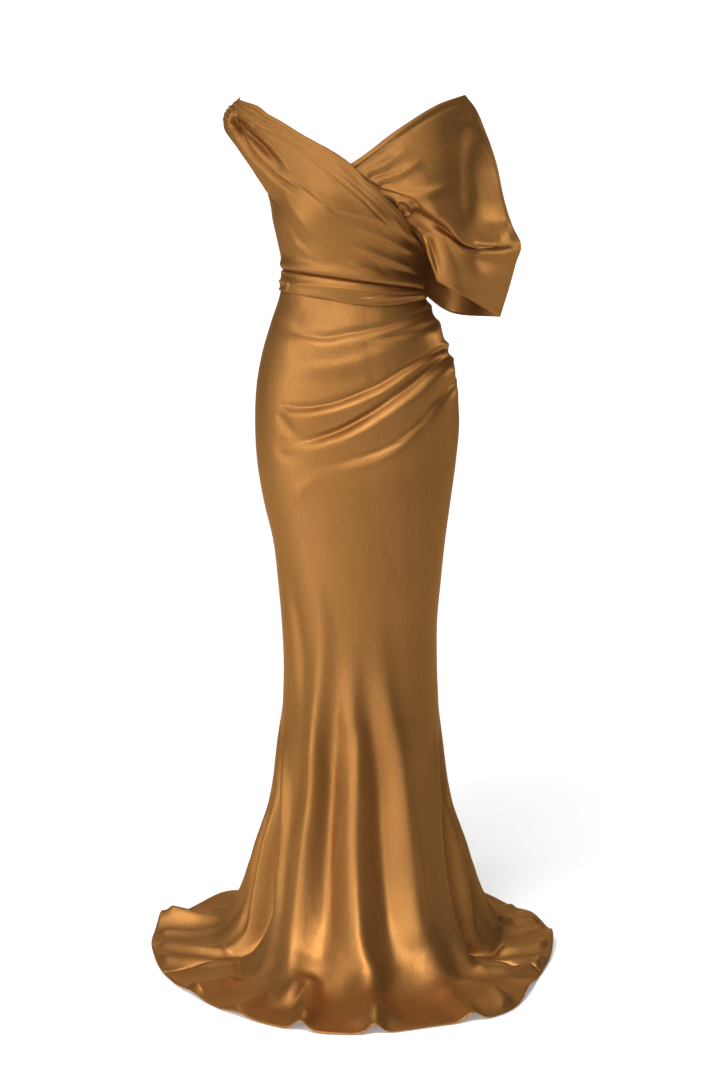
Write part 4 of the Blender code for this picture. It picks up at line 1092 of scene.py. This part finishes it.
@dataclass
class BackRight(Panel):
    """Right back, from its half of the strap down to the waist seam."""

    neck_cells: int = 80
    centre_cells: int = 40
    across_cells: int = 90

    def surface(self) -> tuple[np.ndarray, np.ndarray]:
        """Grids of points on the outer face and of directions out of it."""
        end = -90 - FIGURE.gap_turn(-90, 1.25)
        cells = self.neck_cells + self.centre_cells
        neck = along(BACK_NECK, self.neck_cells)
        centre = along((BACK_NECK[-1], (-180, 1.25), (-180, FIGURE.waist_height + SEAM_GAP / 2)), self.centre_cells)
        inner_edge = np.concatenate([neck[:-1], centre])
        arm = along(BACK_ARM, cells)
        arm[-1, 1] = FIGURE.waist(-90) + SEAM_GAP / 2
        lower = waist_edge(-180, -90, self.across_cells)
        v = np.linspace(0, 1, self.across_cells + 1)[:, None]
        shoulder = inner_edge[0] + (arm[0] - inner_edge[0]) * v
        places = patch(shoulder, lower, inner_edge, arm)
        turn = np.clip(places[..., 0], -180 + FIGURE.gap_turn(180, 1.25), end)
        down = np.linspace(0, 1, cells + 1)[:, None]
        across = np.linspace(0, 1, self.across_cells + 1)[None]
        lift = np.zeros(turn.shape)
        for place, wide, rise in ((0.16, 0.05, 0.0030), (0.40, 0.06, 0.0036), (0.62, 0.05, 0.0034), (0.84, 0.05, 0.0026)):
            lift += rise * bump((across - place) / wide) * ease(down / 0.03) * (1 - ease(down / 0.42))
        lift += creased(BACK_CREASES, turn, places[..., 1]) * (1 - ease((turn + 96) / 6)) * ease((turn + 179) / 6)
        plain = FIGURE.points(turn, places[..., 1])
        normal = FIGURE.normals(turn, places[..., 1])
        return plain + lift[..., None] * normal, normal


BACK_CREASES = (
    Crease(Fold.RIDGE, ((-172, 1.215), (-150, 1.222), (-125, 1.240), (-104, 1.262)), 0.0024, 0.008, 0.010, 0.0, 0.3, 0.3),
    Crease(Fold.RIDGE, ((-166, 1.262), (-146, 1.278), (-126, 1.302)), 0.0024, 0.008, 0.010, 0.0, 0.3, 0.4),
    Crease(Fold.RIDGE, ((-150, 1.196), (-128, 1.199), (-106, 1.206)), 0.0020, 0.005, 0.006, 0.0, 0.3, 0.3),
)


# Sleeve

OUTER_SEAM = ((0.00, 0.178, 1.492), (0.07, 0.196, 1.469), (0.16, 0.212, 1.434), (0.30, 0.232, 1.379), (0.45, 0.246, 1.318), (0.58, 0.261, 1.272), (0.67, 0.276, 1.238), (0.74, 0.268, 1.212), (0.83, 0.259, 1.178), (1.00, 0.241, 1.118))
SEAM_HALF = 0.00125
SEAM_DEPTH = -0.004


def outer_seam(share: np.ndarray, side: int) -> np.ndarray:
    """Points of a sleeve half's outer face at the outer seam; side is -1 in front and 1 behind."""
    shares, x, height = np.array(OUTER_SEAM, float).T
    x, height = curve(shares, x, share), curve(shares, height, share)
    return np.stack([x, np.full(x.shape, SEAM_DEPTH + side * SEAM_HALF), height - HELD_HEIGHT], axis=-1)


@dataclass(frozen=True)
class SleeveRow:
    """A row of the sleeve front: its share of the outer seam and x, height and depth at four stations."""

    share: float
    tucked: tuple[float, float, float]
    edge: tuple[float, float, float]
    middle: tuple[float, float, float]
    outer: tuple[float, float, float]


SLEEVE_ROWS = (
    SleeveRow(0.00, (-0.061, 1.349, 0.109), (-0.015, 1.374, 0.102), (0.061, 1.429, 0.088), (0.128, 1.472, 0.046)),
    SleeveRow(0.09, (-0.032, 1.325, 0.118), (0.003, 1.358, 0.108), (0.079, 1.392, 0.108), (0.151, 1.424, 0.070)),
    SleeveRow(0.24, (-0.010, 1.305, 0.119), (0.026, 1.337, 0.113), (0.105, 1.360, 0.118), (0.174, 1.380, 0.088)),
    SleeveRow(0.40, (0.000, 1.297, 0.118), (0.030, 1.331, 0.114), (0.122, 1.327, 0.126), (0.189, 1.331, 0.098)),
    SleeveRow(0.54, (0.011, 1.285, 0.116), (0.043, 1.320, 0.115), (0.128, 1.302, 0.136), (0.195, 1.285, 0.108)),
    SleeveRow(0.64, (0.030, 1.265, 0.108), (0.063, 1.300, 0.109), (0.131, 1.281, 0.137), (0.187, 1.240, 0.113)),
    SleeveRow(0.66, (0.042, 1.256, 0.101), (0.072, 1.288, 0.101), (0.132, 1.272, 0.113), (0.189, 1.237, 0.104)),
    SleeveRow(0.68, (0.084, 1.271, 0.086), (0.096, 1.271, 0.093), (0.137, 1.256, 0.122), (0.191, 1.230, 0.109)),
    SleeveRow(0.74, (0.103, 1.252, 0.096), (0.110, 1.249, 0.106), (0.144, 1.239, 0.121), (0.195, 1.218, 0.106)),
    SleeveRow(0.85, (0.115, 1.217, 0.110), (0.123, 1.214, 0.116), (0.160, 1.201, 0.120), (0.204, 1.188, 0.095)),
    SleeveRow(1.00, (0.129, 1.180, 0.108), (0.137, 1.176, 0.112), (0.168, 1.160, 0.110), (0.203, 1.139, 0.070)),
)
SLEEVE_STATIONS = (0.0, 0.15, 0.48, 0.76, 1.0)

SLEEVE_CREASES = (
    Crease(Fold.TROUGH, ((0.104, 1.258), (0.118, 1.222), (0.134, 1.185)), 0.0060, 0.012, 0.012, 0.0, 0.20, 0.40),
    Crease(Fold.TROUGH, ((0.180, 1.466), (0.167, 1.403), (0.165, 1.321), (0.172, 1.262)), 0.0050, 0.014, 0.030, 0.0, 0.15, 0.25),
    Crease(Fold.RIDGE, ((0.202, 1.446), (0.220, 1.376), (0.236, 1.300), (0.252, 1.250)), 0.0090, 0.012, 0.040, 0.0, 0.20, 0.20),
    Crease(Fold.PLEAT, ((-0.02, 1.362), (0.005, 1.350), (0.033, 1.332), (0.066, 1.322), (0.090, 1.312), (0.105, 1.290)), 0.0048, 0.005, 0.012, 0.0024, 0.10, 0.20),
    Crease(Fold.RIDGE, ((0.005, 1.360), (0.030, 1.367), (0.055, 1.382), (0.085, 1.404)), 0.0030, 0.006, 0.009, 0.0, 0.15, 0.60),
    Crease(Fold.RIDGE, ((0.021, 1.346), (0.046, 1.350), (0.076, 1.362), (0.110, 1.385)), 0.0034, 0.006, 0.008, 0.0, 0.15, 0.60),
    Crease(Fold.TROUGH, ((0.012, 1.352), (0.036, 1.357), (0.060, 1.367)), 0.0024, 0.004, 0.004, 0.0, 0.15, 0.60),
    Crease(Fold.TROUGH, ((0.030, 1.339), (0.056, 1.342), (0.082, 1.350)), 0.0024, 0.004, 0.004, 0.0, 0.15, 0.60),
    Crease(Fold.RIDGE, ((0.050, 1.326), (0.090, 1.322), (0.130, 1.330), (0.160, 1.352)), 0.0034, 0.008, 0.010, 0.0, 0.20, 0.50),
    Crease(Fold.RIDGE, ((0.058, 1.302), (0.064, 1.313), (0.076, 1.315), (0.086, 1.306), (0.084, 1.294), (0.073, 1.291), (0.066, 1.298), (0.072, 1.305)), 0.0042, 0.0034, 0.0034, 0.0, 0.08, 0.10),
    Crease(Fold.RIDGE, ((0.186, 1.236), (0.215, 1.229), (0.238, 1.227), (0.262, 1.232)), 0.0036, 0.008, 0.014, 0.0, 0.15, 0.15),
    Crease(Fold.TROUGH, ((0.186, 1.250), (0.215, 1.243), (0.240, 1.243)), 0.0022, 0.008, 0.007, 0.0, 0.25, 0.25),
    Crease(Fold.TROUGH, ((-0.020, 1.357), (0.000, 1.370), (0.066, 1.417), (0.130, 1.460), (0.170, 1.478)), 0.0016, 0.0024, 0.0024, 0.0, 0.05, 0.08),
    Crease(Fold.TROUGH, ((0.184, 1.466), (0.200, 1.434), (0.221, 1.379), (0.236, 1.318), (0.250, 1.275), (0.262, 1.242)), 0.0016, 0.0024, 0.0024, 0.0, 0.05, 0.08),
)


@dataclass
class SleeveFront(Panel):
    """Under-wrap cut in one with the sleeve front, with its cowl fold tucked across it."""

    row_cells: int = 16
    across_cells: int = 170

    def surface(self) -> tuple[np.ndarray, np.ndarray]:
        """Grids of points on the outer face and of directions out of it."""
        index = np.arange(len(SLEEVE_ROWS))
        place = np.linspace(0, index[-1], self.row_cells * index[-1] + 1)
        stations = curve(index, [(row.tucked, row.edge, row.middle, row.outer) for row in SLEEVE_ROWS], place)
        free = np.stack([stations[..., 0], -stations[..., 2], stations[..., 1] - HELD_HEIGHT], axis=-1)
        share = curve(index, [row.share for row in SLEEVE_ROWS], place)
        knots = np.concatenate([free, outer_seam(share, -1)[:, None]], axis=1)
        u = np.linspace(0, 1, self.across_cells + 1)
        plain = np.stack([curve(SLEEVE_STATIONS, row, u) for row in knots])
        outward = out_of_grid(plain)
        outward[:, -1] = (0, -1, 0)
        lift = creased(SLEEVE_CREASES, plain[..., 0], plain[..., 2] + HELD_HEIGHT, 1.0)
        lift = lift * (1 - ease((u - 0.93) / 0.07)) * ease((u[None] - 0.06) / 0.08)
        return plain + lift[..., None] * outward, outward


BACK_ROWS = (
    (0.00, 1.300, 150, 1.372, 0.128, 1.443, 0.062),
    (0.15, 1.283, 146, 1.338, 0.147, 1.400, 0.075),
    (0.35, 1.262, 140, 1.298, 0.172, 1.342, 0.080),
    (0.55, 1.238, 132, 1.260, 0.182, 1.284, 0.078),
    (0.78, 1.210, 122, 1.212, 0.180, 1.206, 0.062),
    (1.00, 1.181, 115, 1.165, 0.158, 1.124, 0.052),
)


@dataclass
class BackLeft(Panel):
    """Left back cut in one with the sleeve back."""

    row_cells: int = 26
    body_cells: int = 70
    sleeve_cells: int = 90

    def surface(self) -> tuple[np.ndarray, np.ndarray]:
        """Grids of points on the outer face and of directions out of it."""
        index = np.arange(len(BACK_ROWS))
        place = np.linspace(0, index[-1], self.row_cells * index[-1] + 1)
        share, centre, turn, height, x, out_height, depth = curve(index, np.array(BACK_ROWS), place).T
        t = np.linspace(0, 1, self.body_cells + 1)
        start = 180 - FIGURE.gap_turn(180, 1.25)
        turns = start + (turn[:, None] - start) * t
        levels = centre[:, None] + (height - centre)[:, None] * t
        levels[-1] = FIGURE.waist(turns[-1]) + SEAM_GAP / 2 + 0.003 * ease((t - 0.6) / 0.4)
        near = FIGURE.points(turns, levels)
        station = np.stack([x, depth, out_height - HELD_HEIGHT], axis=-1)
        before = FIGURE.points(turns[:, -1] + 12.0, levels[:, -1])
        knots = np.stack([before, near[:, -1], station, outer_seam(share, 1)], axis=1)
        u = np.linspace(0, 1, self.sleeve_cells + 1)[1:]
        far = np.stack([curve((-1.5, 0.0, 0.5, 1.0), row, u) for row in knots])
        plain = np.concatenate([near, far], axis=1)[:, ::-1]
        outward = out_of_grid(plain)
        outward[:, -len(t):] = FIGURE.normals(turns, levels)[:, ::-1]
        outward[:, 0] = (0, 1, 0)
        lift = creased(SLEEVE_BACK_CREASES, plain[..., 0], plain[..., 2] + HELD_HEIGHT, 1.0)
        ends = ease(np.linspace(0, 1, plain.shape[1]) / 0.05) * (1 - ease((np.linspace(0, 1, plain.shape[1]) - 0.95) / 0.05))
        return plain + (lift * ends)[..., None] * outward, outward


SLEEVE_BACK_CREASES = (
    Crease(Fold.RIDGE, ((0.052, 1.330), (0.110, 1.350), (0.165, 1.385)), 0.0040, 0.012, 0.014, 0.0, 0.30, 0.40),
    Crease(Fold.RIDGE, ((0.070, 1.270), (0.120, 1.270), (0.175, 1.285), (0.220, 1.310)), 0.0050, 0.014, 0.016, 0.0, 0.30, 0.30),
    Crease(Fold.RIDGE, ((0.100, 1.215), (0.150, 1.205), (0.200, 1.210), (0.245, 1.225)), 0.0045, 0.012, 0.014, 0.0, 0.30, 0.25),
    Crease(Fold.TROUGH, ((0.080, 1.300), (0.130, 1.302), (0.185, 1.325)), 0.0030, 0.010, 0.010, 0.0, 0.30, 0.40),
)


# Setting


@dataclass(frozen=True)
class Studio:
    """Plain pale floor and backdrop glowing with painted light, soft light and the camera."""

    distance: float = 3.5
    eye: float = 1.25
    pitch: float = 8.5
    focal_pixels: float = 2022.0
    picture_height: int = 1083

    def camera(self) -> bpy.types.Object:
        """Camera at the photograph's viewing angle."""
        data = bpy.data.cameras.new("camera")
        data.sensor_fit = "AUTO"
        data.sensor_width = 36.0
        data.lens = 36.0 * self.focal_pixels / self.picture_height
        data.clip_end = 60
        made = bpy.data.objects.new("camera", data)
        made.location = (0, -self.distance, self.eye - HELD_HEIGHT)
        made.rotation_euler = (math.radians(90 - self.pitch), 0, 0)
        bpy.context.scene.collection.objects.link(made)
        bpy.context.scene.camera = made
        return made

    def floor(self) -> bpy.types.Object:
        """A floor that sweeps up into a backdrop, both glowing with painted light that grows brighter towards the back.
        """
        turn = np.linspace(0, math.pi / 2, 13)
        profile = [(-9.0, 0.0), (5.0, 0.0)] + [(5.0 + 2.0 * math.sin(a), 2.0 - 2.0 * math.cos(a)) for a in turn[1:]] + [(7.0, 4.0)]
        points = [(x, y, z - HELD_HEIGHT - 0.0006) for y, z in profile for x in ((-12.0, 12.0) if z == 0 else (-2.6, 2.6))]
        faces = [(2 * i, 2 * i + 1, 2 * i + 3, 2 * i + 2) for i in range(len(profile) - 1)]
        mesh = bpy.data.meshes.new("floor")
        mesh.from_pydata(points, [], faces)
        mesh.shade_smooth()
        pale = bpy.data.materials.new("pale floor")
        pale.use_nodes = True
        shader = pale.node_tree.nodes["Principled BSDF"]
        shader.inputs["Base Color"].default_value = (0.92, 0.92, 0.92, 1)
        shader.inputs["Emission Color"].default_value = (1, 1, 1, 1)
        make = Sockets(pale.node_tree)
        behind = make.node("ShaderNodeSeparateXYZ", {0: make.node("ShaderNodeTexCoord").outputs["Object"]}).outputs[1]
        # Painted light: the floor and backdrop glow white, more strongly further back, in place of a lit studio sweep.
        pale.node_tree.links.new(make.remap(behind, -0.2, 2.0, 0.24, 0.66), shader.inputs["Emission Strength"])
        shader.inputs["Roughness"].default_value = 0.75
        mesh.materials.append(pale)
        made = bpy.data.objects.new("floor", mesh)
        bpy.context.scene.collection.objects.link(made)
        return made

    def lamp(
        self,
        name: str,
        place: tuple[float, float, float],
        size: tuple[float, float],
        watts: float,
        aim: tuple[float, float, float] = (0.0, 0.0, -0.65),
        spread: float = 180.0,
    ) -> None:
        """An area light that looks at the dress.

        Args:
            name: Name of the light.
            place: Where it stands.
            size: Its width and height.
            watts: Its strength.
            aim: The point that it looks at.
            spread: Angle of its beam, in degrees.
        """
        data = bpy.data.lights.new(name, "AREA")
        data.shape = "RECTANGLE"
        data.size, data.size_y = size
        data.energy = watts
        data.spread = math.radians(spread)
        made = bpy.data.objects.new(name, data)
        made.location = place
        made.rotation_euler = (Vector(aim) - Vector(place)).to_track_quat("-Z", "Y").to_euler()
        bpy.context.scene.collection.objects.link(made)

    def light(self) -> None:
        """Soft studio light, brighter from the picture's upper left."""
        world = bpy.data.worlds.new("studio")
        world.use_nodes = True
        make = Sockets(world.node_tree)
        aside = make.node("ShaderNodeSeparateXYZ", {0: make.node("ShaderNodeTexCoord").outputs["Generated"]})
        strength = make.remap(aside.outputs[0], -0.6, 0.8, 0.28, 0.10)
        strength = make.maths("MULTIPLY", strength, make.remap(aside.outputs[1], 0.1, 0.9, 1.0, 0.45))
        world.node_tree.links.new(strength, world.node_tree.nodes["Background"].inputs["Strength"])
        world.node_tree.nodes["Background"].inputs["Color"].default_value = (1, 1, 1, 1)
        bpy.context.scene.world = world
        bpy.context.scene.view_settings.view_transform = "Standard"
        self.lamp("key", (-2.7, -1.8, -0.20), (0.9, 1.8), 37)
        self.lamp("front", (-1.2, -3.3, 0.6), (1.0, 1.6), 22)
        self.lamp("high", (-0.9, -2.2, 2.2), (1.6, 1.6), 18)
        self.lamp("over", (-0.2, -1.2, 3.0), (2.4, 1.6), 36)
        self.lamp("top", (0.0, 1.8, 3.2), (4.0, 3.0), 28)
        self.lamp("foot", (-0.35, -1.4, 0.40), (0.9, 0.5), 6, aim=(0.0, -0.3, -1.42), spread=75.0)
        self.lamp("sleeve", (3.0, 1.0, 0.30), (0.6, 0.8), 0.4, aim=(0.25, -0.05, -0.05), spread=9.0)


def main() -> None:
    """Builds the dress and its setting."""
    logging.basicConfig(level=logging.INFO, format="%(name)s %(message)s")
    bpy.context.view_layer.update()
    studio = Studio()
    studio.camera()
    studio.floor()
    studio.light()
    weave, rumples = weave_group(), rumple_group()
    bodice = Satin("satin bodice", lean=0.9, rumple_size=24).material(weave, rumples)
    skirt = Satin("satin skirt", lean=0.15, rumple_size=13, rumple=0.003, stretch=0.3).material(weave, rumples)
    thread = Satin("bronze thread", shade=(0.340, 0.160, 0.050), roughness=0.60, metallic=0.40, rumple=0.0).material(weave, rumples)
    sewing = Stitching(thread)
    panels: list[Panel] = [
        WrapOver("front_wrap", "wrap_over", Cut(0.46, 0.34, 0.088, "draped"), bodice, sewing, turned=("top",)),
        SleeveFront("draped_sleeve", "sleeve_front", Cut(0.36, 0.42, 0.094, "draped"), bodice, sewing, turned=("top", "bottom")),
        BackLeft("left_back", "back_left", Cut(0.40, 0.40, 0.087, "draped"), bodice, sewing, turned=("top", "bottom")),
        BackRight("right_back", "back_right", Cut(0.24, 0.32, 0.041, "stretched"), bodice, sewing),
        WaistBand("waist_wrap", "waist_band", Cut(0.30, 0.045, 0.0122, "stretched"), bodice, sewing),
        SkirtFront("front_skirt", "skirt_front", Cut(1.02, 1.33, 0.64, "draped"), skirt, sewing, turned=("bottom",)),
        SkirtBack("left_back_skirt", "skirt_back_left", Cut(0.78, 1.30, 0.395, "draped"), skirt, sewing, turned=("bottom",), side=1),
        SkirtBack("right_back_skirt", "skirt_back_right", Cut(0.78, 1.30, 0.395, "draped"), skirt, sewing, turned=("bottom",), side=-1),
    ]
    for panel in panels:
        panel.build()


if __name__ == "__main__":
    main()
